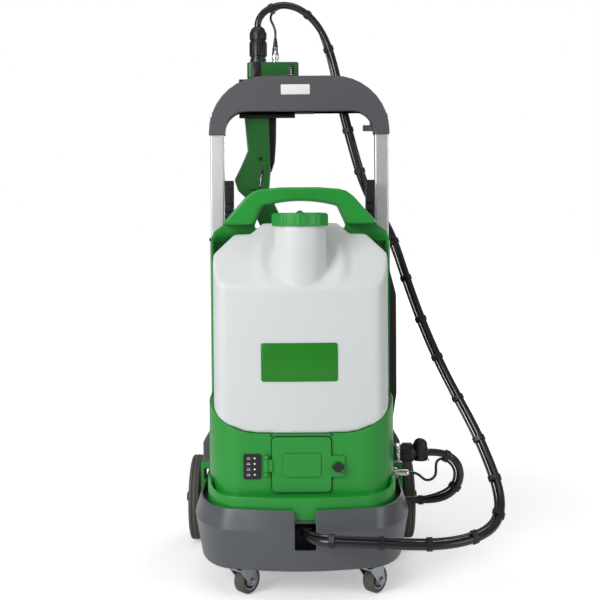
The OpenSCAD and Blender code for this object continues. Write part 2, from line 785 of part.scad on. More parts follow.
module lower_housing() {
  hinge_gap = hinge_y + house_front;
  color(green) difference() {
    union() {
      difference() {
        house_form(0, 0, floor_z);
        house_form(house_wall, house_wall + 1, floor_z - 1);
      }
      battery_bay();
      for (z = [hinge_z, hinge_z + knuckle_h + leaf_h + 2 * fit]) {
        translate([hinge_x, hinge_y, z]) cylinder(r = knuckle_r, h = knuckle_h);
        translate([hinge_x - knuckle_r, hinge_y, z]) cube([knuckle_r + 3, -hinge_gap + 1, knuckle_h]);
      }
    }
    translate([4 - door_x, -house_front - 1, door_z + 5]) cube([door_w - 8, house_wall + 2, door_h - 12]);
    translate([hinge_x, hinge_y, hinge_z - 1]) cylinder(d = hinge_pin_d, h = 2 * knuckle_h + leaf_h + 4);
    translate([0, outlet_y, seat_z - 20]) cylinder(d = outlet_d, h = 30);
    rod_x(house_w / 2 - 10, house_w / 2 + 1, 20, port_y, port_z);
  }
}

module foot_tray() {
  color(green) {
    translate([0, 0, foot_z]) linear_extrude(foot_t) polygon(lip_plan(0));
    difference() {
      intersection() {
        union() {
          translate([0, 0, foot_z]) linear_extrude(2 * lip_h) difference() {
            polygon(lip_plan(0));
            polygon(lip_plan(lip_wall));
          }
          translate([0, 0, foot_z + lip_h - lip_deck]) linear_extrude(lip_deck) polygon(lip_plan(0));
        }
        along_x(-frame_w, frame_w) polygon([[-lip_front - 1, foot_z], [-lip_front - 1, foot_z + lip_h],
          [-122, foot_z + lip_h], [-86, foot_z + lip_h + 15], [-82, foot_z + lip_h + 13], [-104, foot_z + 22],
          [-114, foot_z]]);
      }
      translate([0, 0, floor_z]) linear_extrude(2 * lip_h) polygon(house_plan(-fit));
    }
  }
}

// Tank's outer form drawn in by a wall
module tank_form(inset) {
  lift = 1.35 * inset;
  intersection() {
    translate([0, 0, seat_z - 1]) linear_extrude(tank_top - seat_z + 2) polygon(tank_plan(inset));
    along_y(-tank_front - 1, 1) polygon(tank_front_view(inset));
    along_x(-tank_w, tank_w) polygon([[-tank_front - 40, seat_z - 1], [2, seat_z - 1],
      [2, slope_z + slope * (tank_front + 2) - lift], [-tank_front - 40, slope_z - slope * 40 - lift]]);
  }
}

module tank() {
  color("#d9dee0", 0.9) difference() {
    union() {
      tank_form(0);
      translate([0, neck_y, slope_z - 20]) cylinder(r = column_r, h = column_z - slope_z + 20);
      translate([0, neck_y, column_z - 1]) cylinder(d = neck_d, h = neck_h + 1);
    }
    tank_form(tank_wall);
    translate([0, neck_y, slope_z - 24])
      cylinder(r = column_r - tank_wall, h = column_z - tank_wall - slope_z + 24);
    translate([0, neck_y, column_z - 20]) cylinder(d = neck_d - 2 * neck_wall, h = neck_h + 30);
    translate([0, outlet_y, seat_z - 2]) cylinder(d = outlet_d, h = 20);
  }
}

module tank_outlet() {
  color(black) translate([0, outlet_y, seat_z]) difference() {
    union() {
      translate([0, 0, -30]) cylinder(d = outlet_d, h = 30 + tank_wall + 1);
      translate([0, 0, tank_wall + fit]) cylinder(d = outlet_d + 10, h = 4);
      translate([0, 0, -30]) cylinder(d = outlet_d + 8, h = 30 - house_wall - 1);
    }
    translate([0, 0, -31]) cylinder(d = 10, h = 60);
  }
}

module cap_seal() {
  color(black) translate([0, neck_y, column_z + neck_h]) difference() {
    cylinder(d = neck_d - 1, h = seal_t);
    translate([0, 0, -1]) cylinder(d = neck_d - 2 * neck_wall, h = seal_t + 2);
  }
}

module tank_cap() {
  lobe_d = 22;
  color(green) translate([0, neck_y, cap_z]) difference() {
    union() {
      cylinder(d = cap_d - 6, h = cap_h);
      for (i = [0:7]) rotate(45 * i) translate([cap_d / 2 - lobe_d / 2, 0, 0])
        cylinder(d = lobe_d, h = cap_h - 2);
      cylinder(d = 13, h = cap_h + 6);
    }
    translate([0, 0, -1]) cylinder(d = neck_d + 2 * fit, h = column_z + neck_h + seal_t + fit - cap_z + 1);
  }
}

module battery_door() {
  face = -house_front - fit;
  color(green) difference() {
    union() {
      translate([-door_x, face - door_t, door_z]) cube([door_w, door_t, door_h]);
      along_y(face - door_t - door_pad, face - door_t) translate([0, door_z + door_h / 2])
        polygon(rounded(door_w - 36, door_h - 53, 7));
      translate([door_x - 1, face - door_t, knob_z - 18]) cube([24, door_t, 36]);
      translate([hinge_x, hinge_y, hinge_z + knuckle_h + fit]) cylinder(r = knuckle_r, h = leaf_h);
      translate([hinge_x, hinge_y - 2, hinge_z + knuckle_h + fit]) cube([11, door_t - 0.5, leaf_h]);
    }
    translate([hinge_x, hinge_y, hinge_z]) cylinder(d = hinge_pin_d + 2 * fit, h = 2 * knuckle_h + leaf_h);
    rod_y(face - door_t - 1, face + 1, 6 + 2 * fit, knob_x, knob_z);
  }
}

module door_pin() {
  color(metal) translate([hinge_x, hinge_y, hinge_z])
    cylinder(d = hinge_pin_d, h = 2 * knuckle_h + leaf_h + 2 * fit);
}

module door_knob() {
  face = -house_front - fit - door_t;
  color(black) {
    rod_y(face - 9, face - fit, knob_d, knob_x, knob_z);
    rod_y(face - 1, face + door_t - fit, 6, knob_x, knob_z);
    translate([knob_x - 10, face - 9, knob_z - 2.5]) cube([20, 6, 5]);
  }
}

module battery_pack() {
  color("#2c2d31") translate([0, -house_front + house_wall + 48, bay_z + bay_t])
    linear_extrude(door_h - 24) polygon(rounded(door_w - 18, 84, 8));
}

module pump() {
  color("#303236") {
    translate([68, -110, floor_z]) cube([62, 52, 46]);
    rod_x(70, 138, 38, -84, floor_z + 62);
  }
}

module control_board() {
  color("#1f6b3a") {
    translate([-140, -62, floor_z]) cube([72, 2, 84]);
    translate([-130, -60, floor_z + 20]) cube([22, 9, 30]);
    translate([-98, -60, floor_z + 34]) cube([18, 6, 18]);
  }
}

module led_panel() {
  color(black) along_y(-house_front - 1.5, -house_front) translate([led_x, floor_z + 79])
    polygon(rounded(30, 43, 3));
}

module side_port() {
  color(black) translate([house_w / 2, port_y, port_z]) rotate([0, 90, 0]) rotate_extrude()
    polygon([[0, -8], [10, -8], [10, 0], [20, 0], [20, 5], [15, 7], [15, 20], [18, 22], [18, port_len - 2],
      [16, port_len], [0, port_len]]);
}

module port_elbow() {
  x = house_w / 2 + port_len;
  color(black) {
    rod_x(x, x + 12, 20, port_y, port_z);
    translate([x + 13, port_y, port_z - 14]) cylinder(r = 13, h = 28);
    translate([x + 13, port_y, port_z + 14]) intersection() {
      sphere(r = 13);
      translate([-13, -13, 0]) cube(26);
    }
    rod_x(x + 13, x + elbow_len, 20, port_y, port_z);
  }
}

module cable_socket() {
  color(metal) {
    rod_x(house_w / 2, house_w / 2 + 14, 18, port_y, socket_z);
    rod_x(house_w / 2 + 14, house_w / 2 + socket_len, 11, port_y, socket_z);
  }
}

module back_pad() {
  color(black) translate([0, frame_d, floor_z + 65 + pad_h / 2]) rotate([-90, 0, 0]) loft([
    at_height(rounded(pad_w - 8, pad_h - 8, 36), 0), at_height(rounded(pad_w, pad_h, 40), 6),
    at_height(rounded(pad_w, pad_h, 40), 13), at_height(rounded(pad_w - 12, pad_h - 12, 34), 19),
    at_height(rounded(pad_w - 46, pad_h - 46, 20), pad_t)]);
}

// Strap that hangs beside the pad, out to a given distance from the middle
module strap(reach) {
  along_y(frame_d, frame_d + strap_t) offset(r = 10, $fn = 32) offset(delta = -10)
    polygon([[50, shoulder_z + 22], [pad_w / 2 - 17, shoulder_z + 16], [reach - 22, shoulder_z - 24],
      [reach, shoulder_z - 110], [reach, shoulder_z - 300], [reach - 14, shoulder_z - 390],
      [pad_w / 2 + 4, shoulder_z - 396],
      [pad_w / 2 + 6, shoulder_z - 300], [pad_w / 2 + 6, shoulder_z - 30], [pad_w / 2 - 29, shoulder_z - 8],
      [50, shoulder_z - 10]]);
}

module shoulder_straps() {
  color(black) {
    strap(strap_reach);
    mirror([1, 0, 0]) strap(strap_reach - 21);
  }
}

// Hose and cable

function moved(ring, by) = [for (p = ring) p + by];

// Length of a tube along part of a path, a little short at both ends
module stretch(path, d, sides, from, to) {
  rings = tube_rings(path, d / 2, sides);
  t = tangents(path);
  color(black) loft(concat([moved(rings[from], fit / 2 * t[from])], [for (i = [from + 1:to - 1]) rings[i]],
    [moved(rings[to], -fit / 2 * t[to])]));
}

module hose_stretch(from, to) {
  stretch(hose_route, hose_d, 10, from, to);
}

module cable_stretch(from, to) {
  stretch(cable_route, cable_d, 8, from + cable_shift * (from > 0 ? 1 : 0), to + cable_shift);
}

cart_base();
underpan();
base_screws();
tube_sockets();
outer_tubes();
tube_bushes();
backrest_rails();
rear_axle();
axle_caps();
wheel_tyre(-1);  // wheel_left_tyre
wheel_hub(-1);  // wheel_left_hub
wheel_tyre(1);  // wheel_right_tyre
wheel_hub(1);  // wheel_right_hub
caster_plates();
caster_fork(-1);  // caster_left_fork
caster_tread(-1);  // caster_left_tread
caster_hub(-1);  // caster_left_hub
caster_fork(1);  // caster_right_fork
caster_tread(1);  // caster_right_tread
caster_hub(1);  // caster_right_hub
inner_tubes();
detent_plugs();
crossbar_front();
crossbar_rear();
release_button();
gun_holster();
gun_shell_front();
gun_shell_rear();
gun_base();
trigger();
trigger_pin();
nozzle_collar();
gland_body();
gland_nut();
cable_plug();
back_frame();
lower_housing();
foot_tray();
tank();
tank_outlet();
cap_seal();
tank_cap();
battery_door();
door_pin();
door_knob();
battery_pack();
pump();
control_board();
led_panel();
side_port();
port_elbow();
cable_socket();
back_pad();
shoulder_straps();
hose_stretch(0, handle_point);  // hose_top
hose_stretch(handle_point, join_to);  // hose_main
hose_stretch(join_to, len(hose_route) - 1);  // hose_tail
cable_stretch(0, handle_point);  // cable_top
cable_stretch(handle_point, join_to);  // cable_main
cable_stretch(join_to, len(cable_route) - 1 - cable_shift);  // cable_tail
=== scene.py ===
# Battery sprayer pack docked on its wheeled cart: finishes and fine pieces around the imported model.
import json
import math

import bpy
from mathutils import Matrix, Vector
from mathutils.bvhtree import BVHTree


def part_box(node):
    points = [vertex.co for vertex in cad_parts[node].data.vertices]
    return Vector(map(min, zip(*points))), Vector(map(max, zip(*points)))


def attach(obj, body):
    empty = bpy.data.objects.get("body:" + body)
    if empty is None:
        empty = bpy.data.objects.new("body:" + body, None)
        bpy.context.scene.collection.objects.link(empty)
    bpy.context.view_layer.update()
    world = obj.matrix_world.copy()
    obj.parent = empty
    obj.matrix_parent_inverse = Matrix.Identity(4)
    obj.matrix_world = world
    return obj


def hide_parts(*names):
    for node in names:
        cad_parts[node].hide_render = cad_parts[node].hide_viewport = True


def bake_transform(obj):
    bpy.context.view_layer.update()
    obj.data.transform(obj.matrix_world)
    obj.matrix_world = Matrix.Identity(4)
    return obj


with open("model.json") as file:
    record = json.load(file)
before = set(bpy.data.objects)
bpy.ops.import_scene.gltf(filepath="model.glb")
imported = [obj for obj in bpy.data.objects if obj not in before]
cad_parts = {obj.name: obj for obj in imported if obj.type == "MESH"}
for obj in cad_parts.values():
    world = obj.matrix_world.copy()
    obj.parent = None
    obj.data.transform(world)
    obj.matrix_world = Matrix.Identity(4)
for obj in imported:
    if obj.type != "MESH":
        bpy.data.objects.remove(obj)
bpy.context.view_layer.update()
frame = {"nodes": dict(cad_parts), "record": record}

scene = bpy.context.scene
record = frame["record"]
bodyOf = {node: body for body, nodes in record["behaviour"]["bodies"].items() for node in nodes}
slotOf = {part["node"]: part["material_slot"] for part in record["subparts"]}
alongX, alongZ = (1, 0, 0), (0, 0, 1)


def linear(code):
    # sRGB hex to linear light
    parts = [int(code[i:i + 2], 16) / 255 for i in (1, 3, 5)]
    return [c / 12.92 if c <= 0.04045 else ((c + 0.055) / 1.055) ** 2.4 for c in parts] + [1.0]


def shade(code, factor):
    # the same hue, lighter or darker
    return [min(1.0, c * factor) for c in linear(code)[:3]] + [1.0]


def perMm(size):
    # texture scale whose pattern repeats about every so many millimetres
    return 1000 / size


def mm(*values):
    return tuple(v / 1000 for v in values)


def addNode(tree, kind, inputs=None, **settings):
    node = tree.nodes.new(kind)
    for name, value in settings.items():
        setattr(node, name, value)
    for key, value in (inputs or {}).items():
        if isinstance(value, bpy.types.NodeSocket):
            tree.links.new(value, node.inputs[key])
        else:
            node.inputs[key].default_value = value
    return node


def newFinish(name, sockets):
    finish = bpy.data.materials.new(name)
    finish.use_nodes = True
    tree = finish.node_tree
    shader = tree.nodes["Principled BSDF"]
    for socket, value in sockets.items():
        shader.inputs[socket].default_value = value
    return finish, tree, shader


def surfaceDetail(tree, shader, code, drift, driftMm, grainMm, grainDepth, rough, roughSpread, stretch=(1, 1, 1)):
    # slow colour drift, fine mould grain and uneven gloss, all in real sizes on object coordinates
    place = addNode(tree, "ShaderNodeTexCoord").outputs["Object"]
    drawn = addNode(tree, "ShaderNodeMapping", {"Vector": place, "Scale": stretch}).outputs["Vector"]
    slow = addNode(tree, "ShaderNodeTexNoise", {"Vector": place, "Scale": perMm(driftMm), "Detail": 3})
    tint = addNode(tree, "ShaderNodeMix", {0: slow.outputs["Fac"], 6: shade(code, 1 - drift),
                                           7: shade(code, 1 + drift)}, data_type="RGBA")
    tree.links.new(tint.outputs[2], shader.inputs["Base Color"])
    grain = addNode(tree, "ShaderNodeTexNoise", {"Vector": drawn, "Scale": perMm(grainMm), "Detail": 2}).outputs["Fac"]
    gloss = addNode(tree, "ShaderNodeMapRange", {"Value": grain, "To Min": rough - roughSpread,
                                                 "To Max": rough + roughSpread})
    tree.links.new(gloss.outputs["Result"], shader.inputs["Roughness"])
    relief = addNode(tree, "ShaderNodeBump", {"Height": grain, "Strength": 0.35, "Distance": grainDepth / 1000})
    tree.links.new(relief.outputs["Normal"], shader.inputs["Normal"])


def mouldedFinish(name, code, rough, grainMm=1.6, grainDepth=0.05, drift=0.05, coat=0.0):
    finish, tree, shader = newFinish(name, {"IOR": 1.5, "Coat Weight": coat, "Coat Roughness": 0.2})
    surfaceDetail(tree, shader, code, drift, 90, grainMm, grainDepth, rough, 0.04)
    return finish


def metalFinish(name, code, rough, stretch=(1, 1, 1), grainMm=1.2, grainDepth=0.02):
    finish, tree, shader = newFinish(name, {"Metallic": 1.0})
    surfaceDetail(tree, shader, code, 0.05, 60, grainMm, grainDepth, rough, 0.07, stretch)
    return finish


finishes = {
    # ABS, injection moulded with a fine eroded texture: a satin sheen that breaks up a little
    "green": mouldedFinish("mouldedGreenAbs", "#1f9433", 0.33, coat=0.05),
    "gun_green": mouldedFinish("gunGreenAbs", "#17601f", 0.36),
    # polypropylene tub, waxy and a little uneven
    "tub_grey": mouldedFinish("tubPolypropylene", "#56595e", 0.3, 2.2, 0.06, 0.06, 0.1),
    "charcoal": mouldedFinish("crossbarPolypropylene", "#515257", 0.48, 1.8, 0.08),
    # glass-filled nylon, near black with a soft gloss
    "black_plastic": mouldedFinish("blackNylon", "#1b1a1f", 0.34, 1.4, 0.05, 0.12),
    "wheel_hub": mouldedFinish("wheelHubPolyamide", "#65665f", 0.5),
    "caster_hub": mouldedFinish("casterHubAcetal", "#a6abb4", 0.35),
    "tyre": mouldedFinish("tyreRubber", "#56564f", 0.72, 2.0, 0.12, 0.1),
    # dark rubber for the caster rings and the door's seal; round the door it is also painted shade for the gap and the
    # corner notches
    "seal": mouldedFinish("sealRubberAndSeamShade", "#1c1c1d", 0.6),
    "board": mouldedFinish("boardLacquer", "#1f6b3a", 0.3),
    # anodised aluminium tube, drawn lengthwise, so its streaks run along Z
    "alloy": metalFinish("anodisedAluminium", "#e6e7e8", 0.42, (1, 1, 0.012), 0.9),
    "steel": metalFinish("zincPlatedSteel", "#b4b7bb", 0.3),
    "chrome": metalFinish("chromePlate", "#d9dadc", 0.1, grainMm=4, grainDepth=0.004),
    # PVC hose: glossy skin with faint scuffs along it
    "hose": mouldedFinish("hosePvc", "#17151a", 0.24, 5.0, 0.05, 0.15, 0.3),
    "white_print": mouldedFinish("whitePlate", "#eceeea", 0.3, coat=0.2),
    "label_green": mouldedFinish("printedLabelGreen", "#137d0b", 0.36, 3.0, 0.01, 0.09),
    "silver": metalFinish("silverInlay", "#b9bbc2", 0.28),
}


def polyethyleneFinish(name, code):
    # natural blow-moulded polyethylene: milky, light soaks in, faint upright flow lines from the parison
    finish, tree, shader = newFinish(name, {"IOR": 1.5, "Subsurface Weight": 0.35, "Subsurface Scale": 1.0,
                                            "Subsurface Radius": (0.02, 0.02, 0.022)})
    surfaceDetail(tree, shader, code, 0.025, 140, 9, 0.12, 0.4, 0.04, (1, 1, 0.15))
    return finish


def wovenFinish(name, code, threadMm, rough):
    # plain weave drawn from two crossing sets of threads; real threads are finer than the render shows
    finish, tree, shader = newFinish(name, {"Roughness": rough, "Sheen Weight": 0.25, "Sheen Roughness": 0.5})
    place = addNode(tree, "ShaderNodeTexCoord").outputs["Object"]
    threads = {"Vector": place, "Scale": perMm(threadMm) / 6.28, "Distortion": 0.4}  # the wave counts in radians
    across, along = (addNode(tree, "ShaderNodeTexWave", threads, bands_direction=way) for way in "XZ")
    cloth = addNode(tree, "ShaderNodeMath", {0: across.outputs["Fac"], 1: along.outputs["Fac"]},
                    operation="MULTIPLY").outputs["Value"]
    tint = addNode(tree, "ShaderNodeMix", {0: cloth, 6: shade(code, 0.7), 7: shade(code, 1.5)}, data_type="RGBA")
    tree.links.new(tint.outputs[2], shader.inputs["Base Color"])
    relief = addNode(tree, "ShaderNodeBump", {"Height": cloth, "Strength": 0.6, "Distance": 0.0004})
    tree.links.new(relief.outputs["Normal"], shader.inputs["Normal"])
    return finish


finishes["tank_white"] = polyethyleneFinish("naturalPolyethylene", "#e6eaec")
finishes["webbing"] = wovenFinish("blackSpacerMesh", "#1d1c20", 3.2, 0.8)
finishes["strap"] = wovenFinish("blackWebbing", "#232226", 2.0, 0.7)
finishes["thread"] = mouldedFinish("polyesterThread", "#4a4a4e", 0.6)
# clear acrylic with a faint light behind it
finishes["lamp"] = newFinish("indicatorLamp", {"Base Color": linear("#f4f6f4"), "Roughness": 0.3,
                                               "Emission Color": linear("#f4f6f4"), "Emission Strength": 0.5})[0]
print("finishes made:", len(finishes))


# hands: picking, applying and finishing pieces


def pickOnly(obj):
    if bpy.context.object and bpy.context.object.mode != "OBJECT":
        bpy.ops.object.mode_set(mode="OBJECT")
    bpy.ops.object.select_all(action="DESELECT")
    obj.select_set(True)
    bpy.context.view_layer.objects.active = obj


def editPicked(obj, *steps):
    # runs edit-mode steps on what is picked in one piece
    pickOnly(obj)
    bpy.ops.object.mode_set(mode="EDIT")
    for step in steps:
        step()
    bpy.ops.object.mode_set(mode="OBJECT")


def editAll(obj, *steps):
    editPicked(obj, lambda: bpy.ops.mesh.select_all(action="SELECT"), *steps)


def settle(obj, name):
    # the piece's place goes into its mesh
    obj.name = obj.data.name = name
    pickOnly(obj)
    bpy.ops.object.transform_apply(location=True, rotation=True, scale=True)
    return obj


def modify(obj, kind, **settings):
    pickOnly(obj)
    modifier = obj.modifiers.new(kind.lower(), kind)
    for name, value in settings.items():
        setattr(modifier, name, value)
    bpy.ops.object.modifier_apply(modifier=modifier.name)


def roundEdges(obj, width, segments=2, angle=32):
    modify(obj, "BEVEL", width=width, segments=segments, limit_method="ANGLE", angle_limit=math.radians(angle),
           use_clamp_overlap=False, loop_slide=False, miter_outer="MITER_ARC")


def smoothShade(obj, angle=38):
    pickOnly(obj)
    bpy.ops.object.shade_smooth_by_angle(angle=math.radians(angle), keep_sharp_edges=True)
    return obj


def evenShade(obj):
    # smooth shading that keeps wide faces flat and turns only on the rounds between them
    smoothShade(obj)
    modify(obj, "WEIGHTED_NORMAL", weight=60, keep_sharp=True)


def finished(obj, edge=0.0):
    # a small round on the edges of a made piece, then its shading
    if edge:
        roundEdges(obj, edge, 2, 60)
    return smoothShade(obj)


def linked(name, data):
    obj = bpy.data.objects.new(name, data)
    scene.collection.objects.link(obj)
    return obj


def joined(name, pieces):
    bpy.ops.object.select_all(action="DESELECT")
    for piece in pieces:
        piece.select_set(True)
    bpy.context.view_layer.objects.active = pieces[0]
    if len(pieces) > 1:
        bpy.ops.object.join()
    return settle(pieces[0], name)


def wear(obj, finish):
    obj.data.materials.clear()
    obj.data.materials.append(finishes[finish])


def fitOn(obj, body, finish, *nodes, slot=None):
    # finish and the body that carries the piece
    wear(obj, finish)
    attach(obj, body)
    if nodes:
        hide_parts(*nodes)


weldReach = {"solid": 0.00002, "made": 0.000005}  # points nearer than this are one
flatWithin = 0.8  # degrees between triangles that count as one flat face


def weld(obj, kind):
    editAll(obj, lambda: bpy.ops.mesh.remove_doubles(threshold=weldReach[kind]))


def facesOut(obj):
    editAll(obj, lambda: bpy.ops.mesh.normals_make_consistent(inside=False))


def pickNone(obj, kind):
    # nothing picked, and picking set to points, edges or faces
    editAll(obj, lambda: bpy.ops.mesh.select_mode(type=kind), lambda: bpy.ops.mesh.select_all(action="DESELECT"))


def takeOut(obj, kind):
    # deletes the picked points or faces
    editPicked(obj, lambda: bpy.ops.mesh.select_mode(type=kind), lambda: bpy.ops.mesh.delete(type=kind))


def closeHoles(obj):
    editAll(obj, lambda: bpy.ops.mesh.fill_holes(sides=0))
    facesOut(obj)


def cutAcross(obj, places):
    # edge lines across the piece at these places along X
    for x in places:
        editAll(obj, lambda: bpy.ops.mesh.bisect(plane_co=(x, 0, 0), plane_no=alongX))


def bevelWhere(obj, chosen, sharper=0, **settings):
    # rounds the edges whose two ends pass a test, and only sharp ones if an angle is given
    pickNone(obj, "EDGE")
    if sharper:
        editPicked(obj, lambda: bpy.ops.mesh.edges_select_sharp(sharpness=math.radians(sharper)))
    for e in obj.data.edges:
        e.select = (e.select or not sharper) and chosen(*(obj.data.vertices[i].co for i in e.vertices))
    editPicked(obj, lambda: bpy.ops.mesh.bevel(affect="EDGES", **settings))


def runsInDepth(a, b):
    return abs((b - a).normalized().y) > 0.99


def copyNode(node, name, flatFrom=-1.0):
    # welded copy of a CAD solid, its flat triangles above a height joined into whole faces
    obj = linked(name, frame["nodes"][node].data.copy())
    weld(obj, "solid")
    pickNone(obj, "FACE")
    for face in obj.data.polygons:
        face.select = all(obj.data.vertices[i].co.z > flatFrom for i in face.vertices)
    editPicked(obj, lambda: bpy.ops.mesh.dissolve_limited(angle_limit=math.radians(flatWithin)))
    return obj


def facing(place, way):
    # takes a piece to its place and turns its Z this way
    return Matrix.Translation(place) @ Vector(way).to_track_quat("Z", "Y").to_matrix().to_4x4()


def turnAbout(obj, centre, axis, degrees):
    spin = Matrix.Rotation(math.radians(degrees), 4, Vector(axis))
    obj.data.transform(Matrix.Translation(centre) @ spin @ Matrix.Translation(-Vector(centre)))
    return obj


def block(name, centre, size, corner=0.0, edge=0.0):
    # box with round corners seen from the front and a small round on its edges
    bpy.ops.object.select_all(action="DESELECT")
    bpy.ops.mesh.primitive_cube_add(size=1, location=centre, scale=size)
    obj = settle(bpy.context.object, name)
    if corner:
        bevelWhere(obj, runsInDepth, offset=corner, segments=4)
    return finished(obj, edge)


def rod(name, start, end, radius, edge=0.0, sides=32):
    # bar between two points
    start, end = Vector(start), Vector(end)
    bpy.ops.object.select_all(action="DESELECT")
    bpy.ops.mesh.primitive_cylinder_add(vertices=sides, radius=radius, depth=(end - start).length)
    bpy.context.object.matrix_world = facing((start + end) / 2, end - start)
    return finished(settle(bpy.context.object, name), edge)


def turned(name, profile, centre, axis, steps=64):
    # profile of (radius, along) points in millimetres, closed unless it starts and ends on the axis it is spun about
    count = len(profile)
    sides = count - 1 if profile[0][0] == profile[-1][0] == 0 else count
    mesh = bpy.data.meshes.new(name)
    mesh.from_pydata([mm(r, 0, h) for r, h in profile], [(i, (i + 1) % count) for i in range(sides)], [])
    obj = linked(name, mesh)
    editAll(obj, lambda: bpy.ops.mesh.spin(steps=steps, angle=math.tau, center=(0, 0, 0), axis=alongZ))
    weld(obj, "made")
    facesOut(obj)
    obj.matrix_world = facing(centre, axis)
    return smoothShade(settle(obj, name), 42)


def ringOf(count, centre, axis, offset, size, edge):
    # one small rib, its size and its way off the centre in millimetres, copied round an axis
    ribs = [block("rib", Vector(centre) + Vector(mm(*offset)), mm(*size), 0, edge)]
    for i in range(1, count):
        ribs.append(turnAbout(linked("rib", ribs[0].data.copy()), centre, axis, 360 * i / count))
    return joined("ribs", ribs)


def card(name, centre, size, corner):
    # flat card facing the front, with round corners
    bpy.ops.object.select_all(action="DESELECT")
    bpy.ops.mesh.primitive_plane_add(size=1, location=centre, rotation=(math.pi / 2, 0, 0))
    bpy.context.object.scale = (*size, 1)
    obj = settle(bpy.context.object, name)
    editAll(obj, lambda: bpy.ops.mesh.bevel(offset=corner, segments=5, affect="VERTICES"))
    return obj


def plate(name, centre, size, corner, thick, edge=0.0, bow=None, bowSteps=14):
    # thin plate facing the front, bent to a bow where it lies on one
    obj = card(name, centre, size, corner)
    if bow:
        cutAcross(obj, [centre[0] + size[0] * (k / bowSteps - 0.5) for k in range(1, bowSteps)])
        for v in obj.data.vertices:
            v.co.y += bow[0] * (v.co.x / bow[1]) ** 2
    modify(obj, "SOLIDIFY", thickness=thick, offset=1)
    return finished(obj, edge)


def rim(name, centre, size, band, corner, thick):
    # flat ring facing the front, with round corners
    obj = card(name, centre, size, corner)
    editAll(obj, lambda: bpy.ops.mesh.inset(thickness=band), lambda: bpy.ops.mesh.delete(type="FACE"))
    modify(obj, "SOLIDIFY", thickness=thick, offset=1)
    return finished(obj)


def screwsOn(name, body, finish, radius, tall, spots):
    # pan heads with a socket, in millimetres; a spot is a place and the way along Y that the head faces
    r, h = radius, tall
    profile = [(0, 0), (r, 0), (r, h * 0.5), (r * 0.82, h), (r * 0.5, h), (r * 0.44, h * 0.35), (0, h * 0.35)]
    heads = [turned("screw", profile, mm(x, y, z), (0, way, 0), 24) for x, y, z, way in spots]
    fitOn(joined(name, heads), body, finish)


# camera, fitted to the photo

cameraPlace = {"eye": (0.0, -1.699, 0.633), "pitch": 1.03, "roll": 0.42, "lens": 54.36, "sensor": 36, "shift": -0.10}
cameraData = bpy.data.cameras.new("camera")
cameraData.lens = cameraPlace["lens"]
cameraData.sensor_width = cameraPlace["sensor"]
cameraData.shift_y = cameraPlace["shift"]
scene.camera = linked("camera", cameraData)
scene.camera.matrix_world = (Matrix.Translation(cameraPlace["eye"])
                             @ Matrix.Rotation(math.radians(90 - cameraPlace["pitch"]), 4, "X")
                             @ Matrix.Rotation(-math.radians(cameraPlace["roll"]), 4, "Z"))


# hose and cable, in millimetres as in the part

hosePlan = {
    "route": [(-82, 147, 1032), (-82, 147, 1046), (-66, 147, 1068), (-27, 147, 1079), (8, 146, 1066), (36, 145, 1040),
              (60, 143, 998), (78, 141, 933), (92, 140, 857), (111, 140, 788), (133, 141, 708), (160, 138, 660),
              (186, 126, 612), (203, 106, 555), (226, 80, 478), (256, 50, 394), (290, 15, 318), (322, -25, 256),
              (341, -65, 202), (351, -105, 161), (343, -150, 132), (318, -190, 116), (273, -222, 110),
              (221, -238, 108), (163, -243, 111), (106, -243, 114), (61, -243, 116), (40, -239, 116), (21, -227, 115),
              (9, -208, 114), (5, -187, 111), (12, -150, 105), (45, -90, 102), (95, -25, 102), (145, 18, 102),
              (191, 30, 103), (233, 24, 103), (268, 12, 110), (291, 0, 132), (298, -10, 158), (293, -16, 182),
              (276, -20, 200), (254, -20, 206), (234, -20, 206)],
    "hoseRadius": 7.0, "cableRadius": 2.5, "gap": 0.4, "hoseEase": 30, "cableEase": 10,
    "cableStart": [(-47, 147, 1010), (-47, 147, 1024), (-52, 149, 1039), (-57, 154, 1052), (-50, 158, 1067)],
    "cableEnd": [(262, -20, 194), (256, -20, 192.5), (251.6, -20, 188), (250, -20, 182), (250, -20, 172),
                 (248.9, -20, 163.3), (242.5, -20, 156), (235, -20, 154), (229.3, -20, 155.1), (224.4, -20, 158.4),
                 (218.5, -20, 163.6), (212, -20, 167), (206, -20, 168), (200, -20, 168)],
    "joinFrom": 3, "turnPoint": 6, "handlePoint": 8, "slotPoint": 30, "tubPoint": 35, "leavePoint": 41, "steps": 8,
    "tieEvery": 78.0, "tieLead": 30.0, "tieHalf": 5.2, "tieThick": 1.7, "tieSlope": 0.8, "tieClear": 0.2,
    "tieReach": (6.0, 16.0),
    # the two bodies of each stretch, and the places between which it goes over from one to the other, in metres
    "links": {"top": ("gun", "handle", (-0.044, 0, 0), (0.085, 0, 0)),
              "main": ("handle", "cart", (0, 0, 0.85), (0, 0, 0.42)),
              "tail": ("cart", "backpack", (0, 0.02, 0), (0, -0.0175, 0))},
}


def cableWays(plan):
    # which side of the hose the cable lies on at each point, by the same rule as in the part
    path = [Vector(p) for p in plan["route"]]
    ways = {}
    for i in range(plan["joinFrom"], plan["leavePoint"] + 1):
        t = (path[i + 1] - path[i - 1]).normalized()
        inner = Vector((t.z, 0, -t.x)).normalized()
        right = Vector((t.y, -t.x, 0)).normalized()
        back = Vector((0, 1, 0))
        if i < plan["turnPoint"]:
            way = back - t.y * t
        elif i == plan["turnPoint"]:
            way = back + inner
        elif i < plan["slotPoint"]:
            way = inner
        elif i == plan["slotPoint"]:
            way = right + Vector((0, 0, 1))
        elif i <= plan["tubPoint"]:
            way = right
        elif i == plan["tubPoint"] + 1:
            way = right - inner
        else:
            way = -inner
        ways[i] = way.normalized()
    return ways


